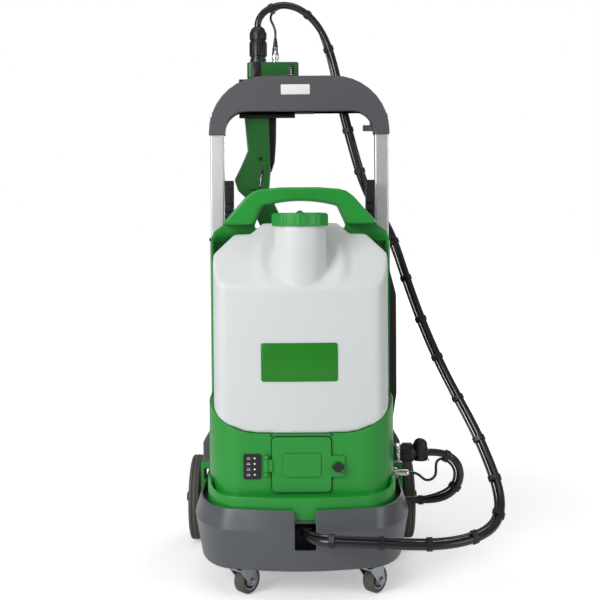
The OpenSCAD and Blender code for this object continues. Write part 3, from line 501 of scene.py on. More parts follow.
def cableBeside(plan, hoseLine):
    # the cable drawn tight along the laid hose, with its own two ends, and where its stretches end
    steps, ways = plan["steps"], cableWays(plan)
    away = (plan["hoseRadius"] + plan["cableRadius"] + plan["gap"]) / 1000
    beside = []
    for i in range(plan["joinFrom"] * steps, plan["leavePoint"] * steps + 1):
        k, s = divmod(i, steps)
        s = s / steps
        s = s * s * (3 - 2 * s)
        way = ways[k] if s == 0 else ways[k].lerp(ways[k + 1], s)
        t = (hoseLine[i + 1] - hoseLine[i - 1]).normalized()
        beside.append(hoseLine[i] + away * (way - way.dot(t) * t).normalized())
    first = flowing(plan["cableStart"] + [beside[0] * 1000, beside[steps // 2] * 1000], steps)[:-steps]
    last = flowing([beside[-steps // 2] * 1000, beside[-1] * 1000] + plan["cableEnd"], steps)[steps + 1:]
    eased = relaxed(first + beside[1:] + last, plan["cableEase"])
    lead = len(first) - 1 - plan["joinFrom"] * steps
    return eased, [0, lead + plan["handlePoint"] * steps, lead + plan["tubPoint"] * steps, len(eased) - 1]


def relaxed(line, rounds, held=4):
    # takes the sharpest bends out, with so many points held at both ends
    line = [p.copy() for p in line]
    for turn in range(rounds):
        eased = [p * 0.5 + (a + b) * 0.25 for a, p, b in zip(line[held - 1:], line[held:-held], line[held + 1:])]
        line = line[:held] + eased + line[-held:]
    return line


def flowing(points, steps):
    # smooth line through the points, with so many steps between each two, in metres
    points = [Vector(p) / 1000 for p in points]
    line = []
    for i in range(len(points) - 1):
        a, b = points[i], points[i + 1]
        before = points[i - 1] if i else a + (a - b)
        after = points[i + 2] if i + 2 < len(points) else b + (b - a)
        span = (b - a).length
        goIn = (b - before).normalized() * span
        goOut = (after - a).normalized() * span
        for k in range(steps):
            s = k / steps
            line.append((2 * s ** 3 - 3 * s ** 2 + 1) * a + (s ** 3 - 2 * s ** 2 + s) * goIn
                        + (3 * s ** 2 - 2 * s ** 3) * b + (s ** 3 - s ** 2) * goOut)
    return line + [points[-1]]


def lengthOf(line):
    return sum((b - a).length for a, b in zip(line, line[1:]))


def tubeAlong(name, line, radius, sides):
    # round tube on a curve, made a mesh
    curve = bpy.data.curves.new(name, "CURVE")
    curve.dimensions = "3D"
    curve.bevel_depth = radius
    curve.bevel_resolution = max(2, sides // 4)
    curve.use_fill_caps = True
    spline = curve.splines.new("POLY")
    spline.points.add(len(line) - 1)
    for point, place in zip(spline.points, line):
        point.co = (*place, 1)
    pickOnly(linked(name, curve))
    bpy.ops.object.convert(target="MESH")
    obj = bpy.context.object
    weld(obj, "made")
    return settle(smoothShade(obj, 50), name)


def wallBetween(i, j):
    # the four faces between two rings of four points
    return [(4 * i + k, 4 * i + (k + 1) % 4, 4 * j + (k + 1) % 4, 4 * j + k) for k in range(4)]


def fromPoints(name, verts, faces):
    mesh = bpy.data.meshes.new(name)
    mesh.from_pydata(verts, [], faces)
    obj = linked(name, mesh)
    facesOut(obj)
    return smoothShade(obj, 40)


def tieRing(hoseAt, way, towards, apart, plan):
    # soft wrap drawn round hose and cable
    clear, wide, thick, slope = mm(plan["tieClear"], plan["tieHalf"], plan["tieThick"], plan["tieSlope"])
    big, small = plan["hoseRadius"] / 1000 + clear, plan["cableRadius"] / 1000 + clear
    up = way.cross(towards).normalized()
    lean = math.acos(max(-1, min(1, (big - small) / apart)))
    outline = [(0, big, lean + (math.tau - 2 * lean) * k / 16) for k in range(17)]
    outline += [(apart, small, -lean + 2 * lean * k / 8) for k in range(9)]
    verts, faces = [], []
    for i, (base, inner, a) in enumerate(outline):
        ray = math.cos(a) * towards + math.sin(a) * up
        middle, outer = hoseAt + base * towards, inner + thick
        for r, side in ((inner, -wide), (inner, wide), (outer, wide - slope), (outer, slope - wide)):
            verts.append(middle + r * ray + side * way)
        faces += wallBetween(i, (i + 1) % len(outline))
    return verts, faces


def tiesOn(name, hoseLine, cableLine, places, plan):
    low, high = mm(*plan["tieReach"])
    verts, faces = [], []
    for i in places:
        way = (hoseLine[i + 1] - hoseLine[i - 1]).normalized()
        near = min(cableLine, key=lambda p: (p - hoseLine[i]).length)
        towards = near - hoseLine[i]
        towards -= towards.dot(way) * way
        if not low < towards.length < high:
            continue  # the cable goes its own way here
        v, f = tieRing(hoseLine[i], way, towards.normalized(), towards.length, plan)
        faces += [tuple(len(verts) + k for k in face) for face in f]
        verts += v
    return fromPoints(name, verts, faces)


def layHose(plan):
    steps, hoseRadius, cableRadius = plan["steps"], plan["hoseRadius"] / 1000, plan["cableRadius"] / 1000
    hoseLine = relaxed(flowing(plan["route"], steps), plan["hoseEase"])
    cableLine, ends = cableBeside(plan, hoseLine)
    marks = [steps * point for point in (0, plan["handlePoint"], plan["tubPoint"], len(plan["route"]) - 1)]
    tieSteps, run, last = [], 0.0, -plan["tieLead"] / 1000
    for i in range(1, len(hoseLine) - 1):
        run += (hoseLine[i] - hoseLine[i - 1]).length
        if run - last > plan["tieEvery"] / 1000:
            tieSteps.append(i)
            last = run
    for k, (part, link) in enumerate(plan["links"].items()):
        a, b = marks[k], marks[k + 1]
        line, thin = hoseLine[a:b + 1], cableLine[ends[k]:ends[k + 1] + 1]
        hose = tubeAlong("hose_" + part + "_tube", line, hoseRadius, 20)
        cable = tubeAlong("cable_" + part + "_tube", thin, cableRadius, 12)
        ties = tiesOn("ties_" + part, hoseLine, cableLine, [i for i in tieSteps if a < i <= b], plan)
        for piece, finish in ((hose, "hose"), (cable, "hose"), (ties, "black_plastic")):
            wear(piece, finish)
            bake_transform(piece)
        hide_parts("hose_" + part)
        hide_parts("cable_" + part)
        print("hose", part, round(lengthOf(line), 3), "cable", round(lengthOf(thin), 3))


layHose(hosePlan)


# moulded pieces: welded copies of the solids with their edges rounded as a mould leaves them, in millimetres

edgeRounds = {
    "cart_base": 1.5, "tube_sockets": 3.0, "lower_housing": 1.6, "foot_tray": 1.6,
    "tank_cap": 1.6, "crossbar_front": 1.6, "crossbar_rear": 1.6, "gun_shell_front": 2.6, "gun_shell_rear": 2.6,
    "gun_base": 2.4, "trigger": 2.2, "gun_holster": 1.2, "door_knob": 0.9, "backrest_rails": 1.0,
    "axle_caps": 1.4, "tube_bushes": 0.8, "nozzle_collar": 1.4, "caster_left_fork": 0.7, "caster_right_fork": 0.7,
    "caster_left_tread": 0.8, "caster_right_tread": 0.8, "caster_left_hub": 0.4, "caster_right_hub": 0.4,
    "release_button": 1.2, "port_elbow": 0.9, "caster_plates": 0.5, "wheel_left_hub": 0.7, "wheel_right_hub": 0.7,
    "rear_axle": 0.8, "outer_tubes": 0.5, "inner_tubes": 0.4, "underpan": 0.8, "base_screws": 0.5,
}
tubBelt = 0.122
bigRound = 1.5  # wider rounds than this get one step more
atPlace = 0.0002  # nearer than this counts as there
trayEnds = {"rim": 0.173, "foot": 0.135, "top": 0.188, "risesFrom": -0.156, "levelFrom": -0.122, "slack": 0.0005}
ventBoss = {"capTop": 0.652, "tall": 0.0012}


def creaseAt(obj, height):
    # the crease round the tub stays crisp in its smooth shading
    level = {v.index for v in obj.data.vertices if abs(v.co.z - height) < atPlace}
    for e in obj.data.edges:
        e.use_edge_sharp = e.use_edge_sharp or level.issuperset(e.vertices)


def raiseEnds(obj, plan):
    # the tray's wall climbs to its raised ends from further forward than in the solid
    editAll(obj, lambda: bpy.ops.mesh.quads_convert_to_tris(ngon_method="BEAUTY"))
    slack = plan["slack"]
    wall = {(round(v.co.x, 4), round(v.co.y, 4)) for v in obj.data.vertices if v.co.z < plan["foot"] + slack}
    for v in obj.data.vertices:
        if v.co.z < plan["rim"] - slack:
            continue
        if v.co.y > plan["levelFrom"] - slack:
            v.co.z = plan["top"]
        elif (round(v.co.x, 4), round(v.co.y, 4)) in wall:
            climb = (v.co.y - plan["risesFrom"]) / (plan["levelFrom"] - plan["risesFrom"])
            v.co.z += max(0.0, climb) * (plan["top"] - plan["rim"])


for node, width in edgeRounds.items():
    piece = copyNode(node, node + "_moulded")
    if node == "foot_tray":
        raiseEnds(piece, trayEnds)
    if node == "tank_cap":
        for v in piece.data.vertices:
            v.co.z = min(v.co.z, ventBoss["capTop"] + ventBoss["tall"])
    roundEdges(piece, width / 1000, 3 if width > bigRound else 2)
    if node == "cart_base":
        creaseAt(piece, tubBelt)
    evenShade(piece)
    fitOn(piece, bodyOf[node], slotOf[node], node)
print("rounded pieces:", len(edgeRounds))


def archUnder(obj, plan):
    # the grip's underside, two straight lines in the solid, becomes one arch
    crown = max(v.co.z for v in obj.data.vertices) - plan["crownDrop"]
    half, rise, fade, steps = plan["archHalf"], plan["archRise"], plan["archFade"], plan["archSteps"]
    editAll(obj, lambda: bpy.ops.mesh.quads_convert_to_tris(ngon_method="BEAUTY"))
    cutAcross(obj, [k / steps * half for k in range(1 - steps, steps)])
    for v in obj.data.vertices:
        along = abs(v.co.x) / half
        above = v.co.z - crown + rise * along
        if along < 1 and -plan["slack"] < above < fade:
            v.co.z += rise * (along - along ** 2) * (1 - max(0.0, above) / fade)


def softFrame(plan):
    # the grip is rounded more than the thin walls below it can take
    piece = copyNode("back_frame", "back_frame_moulded", plan["flatFrom"])
    bevelWhere(piece, lambda a, b: min(a.z, b.z) > plan["gripFrom"], plan["sharper"], offset=plan["gripRound"],
               segments=4, clamp_overlap=False)
    archUnder(piece, plan)
    evenShade(piece)
    fitOn(piece, "backpack", "green", "back_frame")


def softDoor(plan):
    # the plain pad is laid flat and taken out of the face, for the rounder one below
    piece = copyNode("battery_door", "battery_door_moulded")
    slack, (low, high) = plan["slack"], plan["ends"]
    for v in piece.data.vertices:
        if v.co.y < plan["face"] - slack and abs(v.co.x) < plan["padHalf"]:
            v.co.y = plan["face"]
    weld(piece, "solid")
    pickNone(piece, "VERT")
    for v in piece.data.vertices:
        v.select = (abs(v.co.y - plan["face"]) < slack and abs(v.co.x) < plan["padHalf"]
                    and low + plan["padIn"] < v.co.z < high - plan["padIn"])
    takeOut(piece, "VERT")
    closeHoles(piece)

    def atCorner(a, b):
        ended = min(abs(a.z - low), abs(a.z - high)) < atPlace
        return ended and abs(abs(a.x) - plan["half"]) < atPlace and runsInDepth(a, b)

    bevelWhere(piece, atCorner, offset=plan["corner"], segments=6)
    roundEdges(piece, plan["edge"], 2)
    evenShade(piece)
    fitOn(piece, "door", "green", "battery_door")


softFrame({"flatFrom": 0.62, "gripFrom": 0.645, "gripRound": 0.005, "sharper": 50, "crownDrop": 0.024,
           "archHalf": 0.0645, "archRise": 0.0083, "archFade": 0.014, "archSteps": 6, "slack": 0.001})
softDoor({"half": 0.0505, "ends": (0.176, 0.270), "corner": 0.0075, "edge": 0.0011, "face": -0.1668, "padHalf": 0.034,
          "padIn": 0.01, "slack": 0.0001})
print("frame and door rounded")


# tank: one blown skin, soft at every edge, with its threaded neck

tankPlan = {"voxel": 0.003, "soften": 12, "wall": 0.003, "probe": 0.0015, "neckAxis": (0.0, -0.112),
            "neckOuter": 0.042, "neckBore": 0.037, "neckFrom": 0.618, "neckTop": 0.645, "opensAt": 0.014,
            "ridgeFrom": 0.52, "ridgeTo": 0.622, "ridgeFade": 0.03, "ridgeIn": 0.051, "ridgeOut": 0.093,
            "ridgeLift": 0.007}


def offNeck(place, plan):
    return math.hypot(place.x - plan["neckAxis"][0], place.y - plan["neckAxis"][1])


def ridgeBeside(mesh, plan):
    # a soft ridge on the shoulder round the foot of the neck, with a hollow between the two
    for v in mesh.vertices:
        across = (offNeck(v.co, plan) - plan["ridgeIn"]) / (plan["ridgeOut"] - plan["ridgeIn"])
        below, above = plan["ridgeTo"] - v.co.z, v.co.z - plan["ridgeFrom"]
        if 0 < across < 1 and below > 0 and above > 0:
            fade = min(1.0, below / plan["ridgeFade"]) * min(1.0, above / plan["ridgeFade"])
            v.co.z += plan["ridgeLift"] * fade * 0.5 * (1 - math.cos(math.tau * across))


def blownTank(plan):
    tank = linked("tank_blown", frame["nodes"]["tank"].data.copy())
    weld(tank, "solid")
    corners, facets = tank.data.vertices, tank.data.polygons
    skin = BVHTree.FromPolygons([v.co.copy() for v in corners], [list(facet.vertices) for facet in facets])
    sides = [Vector(w) for w in ((1, 0, 0), (-1, 0, 0), (0, 1, 0), (0, -1, 0))]
    pickNone(tank, "FACE")
    for face in tank.data.polygons:  # a point just off an inner face sees wall on all four sides
        spot = face.center + face.normal * plan["probe"]
        face.select = all(skin.ray_cast(spot, way)[0] is not None for way in sides)
    takeOut(tank, "FACE")
    closeHoles(tank)
    modify(tank, "REMESH", mode="VOXEL", voxel_size=plan["voxel"])
    modify(tank, "SMOOTH", factor=0.5, iterations=plan["soften"])
    ridgeBeside(tank.data, plan)
    for face in tank.data.polygons:  # the neck is opened, and its turned piece takes that place
        above = face.center.z - plan["neckFrom"]
        face.select = offNeck(face.center, plan) < plan["neckOuter"] and above > plan["opensAt"]
    takeOut(tank, "FACE")
    modify(tank, "SOLIDIFY", thickness=plan["wall"], offset=-1)
    smoothShade(tank, 60)
    out, bore = 1000 * plan["neckOuter"], 1000 * plan["neckBore"]
    tall = 1000 * (plan["neckTop"] - plan["neckFrom"])
    profile = [(bore, 0), (out, 0), (out, 12)]
    for up in (14, 19):  # thread ridges
        profile += [(out - 1.2, up), (out - 1.2, up + 2), (out, up + 2.6), (out, up + 3.6)]
    profile += [(out - 0.8, tall), (bore + 0.8, tall), (bore, tall - 0.8)]
    neck = turned("neck", profile, (*plan["neckAxis"], plan["neckFrom"]), alongZ, 72)
    fitOn(joined("tank_blown", [tank, neck]), "backpack", "tank_white", "tank")


blownTank(tankPlan)
print("tank blown")


# plain plates on tank and crossbar, and the vent on the cap

labelPlan = {"centre": mm(-2.5, -160.3, 397), "size": mm(131, 66), "bow": (0.006, 0.126)}
label = plate("tank_label", labelPlan["centre"], labelPlan["size"], 0.004, 0.0007, 0.0002, labelPlan["bow"])
fitOn(label, "backpack", "label_green", slot="green")
frontPlate = plate("crossbar_plate", mm(-7, 85.9, 897), mm(57, 19.6), 0.0015, 0.001, 0.0003)
fitOn(frontPlate, "handle", "white_print", slot="tank_white")
ventLine = [(0, 0), (4.4, 0), (4.4, 1.6), (3.6, 2.6), (2, 3), (0, 3)]
fitOn(turned("cap_vent", ventLine, mm(0, -112, 653.1), alongZ, 40), "cap", "black_plastic")


# battery door: dark seal round it, a rubber ring that is also painted shade for the shadow in the gap round the door;
# raised pad; dark notches at its upper corners, painted shade for the notches

doorPlan = {"half": 50.5, "low": 176.0, "high": 270.0, "wallFace": -162.0, "gap": 1.6, "notchOut": 1.2, "notchZ": 272.8,
            "padAt": (0.8, -167.85), "padSize": (65, 3.1, 41)}
doorMid = (doorPlan["low"] + doorPlan["high"]) / 2
seamShadeSize = mm(2 * (doorPlan["half"] + doorPlan["gap"]), doorPlan["high"] - doorPlan["low"] + 2 * doorPlan["gap"])
# the dark ring is a seal and also painted shade: it stands for the shadow in the gap round the door
seal = [rim("door_seam_shade", mm(0, doorPlan["wallFace"] - 0.05, doorMid), seamShadeSize, 0.0015, 0.0088, 0.0012)]
for side in (-1, 1):
    x, z = side * (doorPlan["half"] + doorPlan["notchOut"]), doorPlan["notchZ"]
    # each notch is a small dark triangle of painted shade, standing for the shadowed notch at the door's upper corner
    notchShade = rod("notchShade", mm(x, -161.9, z), mm(x, -162.9, z), 0.0032, sides=3)
    seal.append(turnAbout(notchShade, mm(x, -162.4, z), (0, 1, 0), 90))
fitOn(joined("door_seam_shade", seal), "backpack", "seal")
raisedPad = block("door_pad", mm(*doorPlan["padAt"], doorMid), mm(*doorPlan["padSize"]), 0.007, 0.0018)
evenShade(raisedPad)
fitOn(raisedPad, "door", "green")
print("door trimmed")


# indicator panel: four lamps, each with two plain bars

ledPlan = {"x": -84.0, "z": 220.0, "backFace": -162.05, "face": -163.3, "rows": 4, "pitch": 9.4}
bezel = rim("led_bezel", mm(ledPlan["x"], ledPlan["face"], ledPlan["z"]), mm(30, 43), 0.0016, 0.0032, 0.0008)
backing = plate("led_back", mm(ledPlan["x"], ledPlan["backFace"], ledPlan["z"]), mm(29.6, 42.6), 0.003, 0.0013)
fitOn(joined("led_face", [bezel, backing]), "backpack", "black_plastic", "led_panel")
dotLine = [(0, 0), (1.4, 0), (1.3, 0.3), (0.9, 0.6), (0, 0.7)]
dots, bars = [], []
for k in range(ledPlan["rows"]):
    z = ledPlan["z"] + (k - (ledPlan["rows"] - 1) / 2) * ledPlan["pitch"]
    dots.append(turned("dot", dotLine, mm(ledPlan["x"] + 4, ledPlan["face"], z), (0, -1, 0), 20))
    for j in range(2):
        place = mm(ledPlan["x"] - 6.5, ledPlan["face"], z + 1.2 - 2.4 * j)
        bars.append(plate("bar", place, mm(5 + 2 * j, 0.7), 0.0002, 0.0002))
fitOn(joined("led_lamps", dots), "backpack", "lamp", slot="tank_white")
fitOn(joined("led_bars", bars), "backpack", "white_print", slot="tank_white")
print("indicator panel made")


# spray gun: band and window on the base block, screws, slot with its inlay

gunPlan = {"bandAt": (-84, 942), "bandFaces": (122.4, 171.6), "bandSize": (17, 1.2, 31.6), "window": (-15.5, 939),
           "windowSize": (10.5, 21), "ticks": 4, "tickPitch": 4.4, "screwFaces": ((125.2, -1), (168.8, 1)),
           "screws": ((-78, 764), (-82, 880), (-92, 700)), "slotAt": (-77.5, 125, 724), "slotLean": 7}
x, z = gunPlan["bandAt"]
band = [block("band", mm(x, y, z), mm(*gunPlan["bandSize"]), 0.002, 0.0004) for y in gunPlan["bandFaces"]]
fitOn(joined("gun_band", band), "gun", "black_plastic")
x, z = gunPlan["window"]
window = plate("gun_window", mm(x, 123.05, z), mm(*gunPlan["windowSize"]), 0.0018, 0.0011, 0.0003)
fitOn(window, "gun", "black_plastic")
ticks = [plate("tick", mm(x, 122, z - 6.5 + gunPlan["tickPitch"] * k), mm(5.2 - k, 1.3), 0.0003, 0.0002)
         for k in range(gunPlan["ticks"])]
fitOn(joined("gun_window_ticks", ticks), "gun", "white_print", slot="tank_white")
screwsOn("gun_screws", "gun", "black_plastic", 4.3, 1.4,
         [(x, y, z, way) for y, way in gunPlan["screwFaces"] for x, z in gunPlan["screws"]])
slotPlate = plate("gun_slot", mm(-77.5, 125.05, 724), mm(6.4, 38), 0.003, 0.0007, 0.0002)
inlay = plate("gun_slot_inlay", mm(-77, 124.4, 720), mm(2.4, 26), 0.0011, 0.0005, 0.0002)
for piece in (slotPlate, inlay):
    turnAbout(piece, mm(*gunPlan["slotAt"]), (0, 1, 0), gunPlan["slotLean"])
fitOn(slotPlate, "gun", "black_plastic")
fitOn(inlay, "gun", "silver", slot="alloy")
print("gun detailed")


# hose gland and cable plug on the gun

glandPlan = {"foot": (-82, 147, 958), "nut": (-82, 147, 1005), "plug": (-47, 147, 958), "grips": 22, "flutes": 16,
             "knurls": 28, "bootRings": 5}
glandAt, nutAt, plugAt = (Vector(mm(*glandPlan[place])) for place in ("foot", "nut", "plug"))
core = turned("gland", [(7.3, 0), (16.6, 0), (16.6, 9), (15, 10), (15, 13), (16.6, 14.5), (16.6, 44), (15.4, 46.6),
                        (7.3, 46.6)], glandAt, alongZ)
hexFoot = rod("foot", glandAt, glandAt + Vector(mm(0, 0, 8.5)), 0.0179, 0.0006, 6)
grips = ringOf(glandPlan["grips"], glandAt, alongZ, (16.9, 0, 29.5), (2, 2.1, 27), 0.0006)
fitOn(joined("gland_body_ribbed", [core, hexFoot, grips]), "gun", "black_plastic", "gland_body")
dome = turned("nut", [(7.3, 0.4), (16, 0.4), (16.2, 16), (14.6, 21.5), (11.4, 25.4), (8.8, 27), (7.3, 27)],
              nutAt, alongZ)
flutes = ringOf(glandPlan["flutes"], nutAt, alongZ, (16.3, 0, 9), (2, 3, 14.5), 0.0007)
fitOn(joined("gland_nut_fluted", [dome, flutes]), "gun", "black_plastic", "gland_nut")
shell = turned("plug", [(2.7, 0), (7.2, 0), (7.2, 5), (6.2, 5.8), (6.2, 8), (7.4, 9), (7.4, 21), (6.6, 22), (6.6, 30),
                        (5.8, 32), (2.7, 32)], plugAt, alongZ, 48)
knurl = ringOf(glandPlan["knurls"], plugAt, alongZ, (7.2, 0, 15), (0.9, 0.9, 10.5), 0.0002)
fitOn(joined("cable_plug_shell", [shell, knurl]), "gun", "chrome", "cable_plug")
bootLine = [(2.7, 31)]
for k in range(glandPlan["bootRings"]):
    wide, slim, up = 5.6 - 0.5 * k, 4.4 - 0.4 * k, 32 + 4 * k
    bootLine += [(wide, up), (wide, up + 2.4), (slim, up + 2.8), (slim, up + 3.8)]
fitOn(turned("cable_boot", bootLine + [(2.7, 51.9)], plugAt, alongZ, 32), "gun", "black_plastic")
print("gland and plug made")


# hose coupling, elbow nut and cable socket on the pack's right side

portPlan = {"hose": (165, -20, 206), "cable": (165, -20, 168), "teeth": 20, "nutTeeth": 14, "knurls": 26}
portAt, socketAt = (Vector(mm(*portPlan[place])) for place in ("hose", "cable"))
coupling = turned("coupling", [(0, -8), (10, -8), (10, 0), (19.6, 0), (20, 1), (20, 4.4), (19.2, 5.4), (15, 7),
                               (15, 20), (17, 22), (17, 40.6), (15.6, 43), (0, 43)], portAt, alongX)
teeth = ringOf(portPlan["teeth"], portAt, alongX, (31, 0, 17.2), (16.5, 2.6, 2), 0.0006)
fitOn(joined("side_port_ribbed", [coupling, teeth]), "backpack", "black_plastic", "side_port")
clamp = turned("clamp", [(15.1, 0), (16.1, 0), (16.4, 0.8), (16.4, 5.2), (16.1, 6), (15.1, 6)],
               portAt + Vector(mm(10, 0, 0)), alongX)
lug = block("lug", portAt + Vector(mm(13, -12.6, 12.6)), mm(7, 6, 6), 0.001, 0.0005)
tightener = rod("tightener", portAt + Vector(mm(13, -17, 12.6)), portAt + Vector(mm(13, -10, 12.6)), 0.0024, 0.0004, 6)
fitOn(joined("hose_clamp", [clamp, lug, tightener]), "backpack", "chrome")
exitNut = turned("exit", [(7.2, 0), (11.4, 0), (11.8, 0.8), (11.8, 6.4), (10.6, 8), (7.2, 8)],
                 portAt + Vector(mm(61.2, 0, 0)), alongX, 48)
exitTeeth = ringOf(portPlan["nutTeeth"], portAt + Vector(mm(64.8, 0, 0)), alongX, (0, 0, 11.9), (5, 2, 1.2), 0.0004)
fitOn(joined("elbow_nut", [exitNut, exitTeeth]), "backpack", "black_plastic")
socketShell = turned("socket", [(0, 0), (9, 0), (9, 3), (8.2, 3.6), (8.2, 5), (8.8, 5.6), (8.8, 13), (7.8, 14),
                                (5.5, 14.4), (5.5, 30), (4.6, 33), (3, 35), (0, 35)], socketAt, alongX, 40)
socketGrip = ringOf(portPlan["knurls"], socketAt, alongX, (9.3, 0, 8.8), (6.6, 1, 0.9), 0.0002)
fitOn(joined("cable_socket_knurled", [socketShell, socketGrip]), "backpack", "chrome", "cable_socket")
print("side fittings made")


# rear wheels: grooved tyres, ribbed hubs; casters: axle nuts and hub rings

wheelPlan = {"x": 210.0, "y": 127.5, "z": 82.5, "ribs": 10, "ribOut": 6.2,
             "tyreHalf": [(68.5, 11), (76, 11), (80.2, 9.9), (82.5, 7.2), (82.5, 5), (81, 4.5), (81, 3.3), (82.5, 2.8)]}
tyreLine = [(r, -h) for r, h in wheelPlan["tyreHalf"]] + wheelPlan["tyreHalf"][::-1]
for side, wheel in ((-1, "wheel_left"), (1, "wheel_right")):
    at = mm(side * wheelPlan["x"], wheelPlan["y"], wheelPlan["z"])
    fitOn(turned(wheel + "_tyre_grooved", tyreLine, at, alongX, 96), wheel, "tyre", wheel + "_tyre")
    ribs = [ringOf(wheelPlan["ribs"], at, alongX, (face * wheelPlan["ribOut"], 0, 41), (5, 3.4, 38), 0.0008)
            for face in (-1, 1)]
    fitOn(joined(wheel + "_ribs", ribs), wheel, "wheel_hub")

casterPlan = {"caster_left": (-95.28, -151.65, 23.0), "caster_right": (124.72, -151.65, 23.0),
              "axis": (-0.7431, 0.6691, 0.0), "nutOut": 14.5, "ringOut": 8.0}
for caster in ("caster_left", "caster_right"):
    at = Vector(mm(*casterPlan[caster]))
    nuts, rings = [], []
    for face in (-1, 1):
        way = face * Vector(casterPlan["axis"])
        out = at + way * casterPlan["nutOut"] / 1000
        nuts.append(rod("nut", out, out + way * 0.0042, 0.0056, 0.0006, 6))
        nuts.append(turned("washer", [(3.6, 0), (7.2, 0), (7.2, 0.7), (3.6, 0.7)], out + way * 0.0001, way, 32))
        rings.append(turned("ring", [(9.6, 0), (13.8, 0), (13.6, 0.7), (9.8, 0.7)],
                            at + way * casterPlan["ringOut"] / 1000, way, 48))
    fitOn(joined(caster + "_nuts", nuts), caster, "steel")
    fitOn(joined(caster + "_rings", rings), caster + "_wheel", "seal")
print("wheels detailed")


# screws that hold the shells and rails, seen from behind and from the sides

screwsOn("crossbar_screws", "handle", "steel", 4.8, 1.8,
         [(x, 119.9, z, 1) for x, z in ((-163, 832), (163, 832), (-135, 892), (120, 892), (60, 903))])
screwsOn("back_frame_screws", "backpack", "steel", 4.6, 1.8,
         [(x, 34.9, z, 1) for x, z in ((-151, 160), (-151, 600), (151, 160), (151, 600), (-112, 668), (112, 668))])
screwsOn("rail_screws", "cart", "steel", 4.2, 1.6, [(x, 116.1, z, 1) for x in (-162.5, 162.5) for z in (250, 419, 579)])
print("screws set")


# back pad: swollen by cloth pressure, then sewn down in channels, with piping round its edge

padPlan = {"voxel": 0.005, "pressure": 4.0, "stiffness": 25.0, "frames": 20, "most": 0.006, "start": 0.96,
           "upright": (-44.0, 44.0), "across": (300.0, 396.0, 492.0), "channelWidth": 5.0, "channelDepth": 4.0,
           "held": 0.0375, "inner": 0.036}


def sewnPad(plan):
    pad = copyNode("back_pad", "back_pad_sewn")
    modify(pad, "REMESH", mode="VOXEL", voxel_size=plan["voxel"])
    low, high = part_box("back_pad")
    for v in pad.data.vertices:  # starts a little thinner, since it swells
        v.co.y = low[1] + (v.co.y - low[1]) * plan["start"]
    group = pad.vertex_groups.new(name="held")
    group.add([v.index for v in pad.data.vertices if v.co.y < plan["held"]], 1.0, "REPLACE")
    cloth = pad.modifiers.new("cloth", "CLOTH")
    cloth.settings.use_pressure = True
    cloth.settings.uniform_pressure_force = plan["pressure"]
    cloth.settings.effector_weights.gravity = 0
    cloth.settings.vertex_group_mass = "held"
    cloth.settings.tension_stiffness = cloth.settings.compression_stiffness = plan["stiffness"]
    cloth.point_cache.frame_end = plan["frames"]
    for step in range(1, plan["frames"] + 1):
        scene.frame_set(step)
    swollen = [v.co.copy() for v in pad.evaluated_get(bpy.context.evaluated_depsgraph_get()).data.vertices]
    pad.modifiers.remove(cloth)
    for v, new in zip(pad.data.vertices, swollen):
        move = new - v.co
        v.co += move * min(1.0, plan["most"] / max(move.length, 1e-9))
    scene.frame_set(1)
    pad.vertex_groups.clear()
    modify(pad, "SUBSURF", levels=1, render_levels=1)
    for v in pad.data.vertices:
        v.co.y = min(max(v.co.y, low[1] + 0.0002), high[1] - 0.0003)
        if v.co.y < plan["inner"]:
            continue
        x, z = v.co.x * 1000, v.co.z * 1000
        channels = [abs(x - c) for c in plan["upright"]]
        if abs(x) > plan["upright"][1]:  # the side cushions are also sewn across
            channels += [abs(z - c) for c in plan["across"]]
        v.co.y -= plan["channelDepth"] / 1000 * math.exp(-(min(channels) / plan["channelWidth"]) ** 2)
        v.co.y = max(v.co.y, plan["inner"])
    smoothShade(pad, 70)
    fitOn(pad, "backpack", "webbing", "back_pad")


sewnPad(padPlan)
pipePlan = {"half": (127.2, 188.2), "corner": 38.0, "y": 45.2, "z": 396.0, "radius": 0.0019, "cornerSteps": 8}
pipeLine = []
for qx, qz, start in ((1, 1, 0), (-1, 1, 90), (-1, -1, 180), (1, -1, 270)):
    for k in range(pipePlan["cornerSteps"] + 1):
        a, corner = math.radians(start + 90 * k / pipePlan["cornerSteps"]), pipePlan["corner"]
        x = qx * (pipePlan["half"][0] - corner) + corner * math.cos(a)
        z = pipePlan["z"] + qz * (pipePlan["half"][1] - corner) + corner * math.sin(a)
        pipeLine.append(Vector(mm(x, pipePlan["y"], z)))
piping = tubeAlong("back_pad_piping", pipeLine + pipeLine[:1], pipePlan["radius"], 10)
fitOn(piping, "backpack", "strap", slot="webbing")
print("pad sewn")


# shoulder straps: padded bands with webbing, stitching and ladder buckles

strapPlan = {"face": 49.0, "web": 25.0, "thick": 1.2, "sunk": 0.4, "steps": 6, "stitchAt": 0.8, "buckleBelow": 40.0,
             "right": [(66, 612), (98, 611), (124, 602), (143, 582), (155, 545), (159.5, 496), (159.5, 400),
                       (159, 306), (154, 232)],
             "left": [(66, 612), (98, 611), (120, 602), (136, 582), (146, 545), (149, 496), (149, 400),
                      (148.5, 306), (144, 232)]}


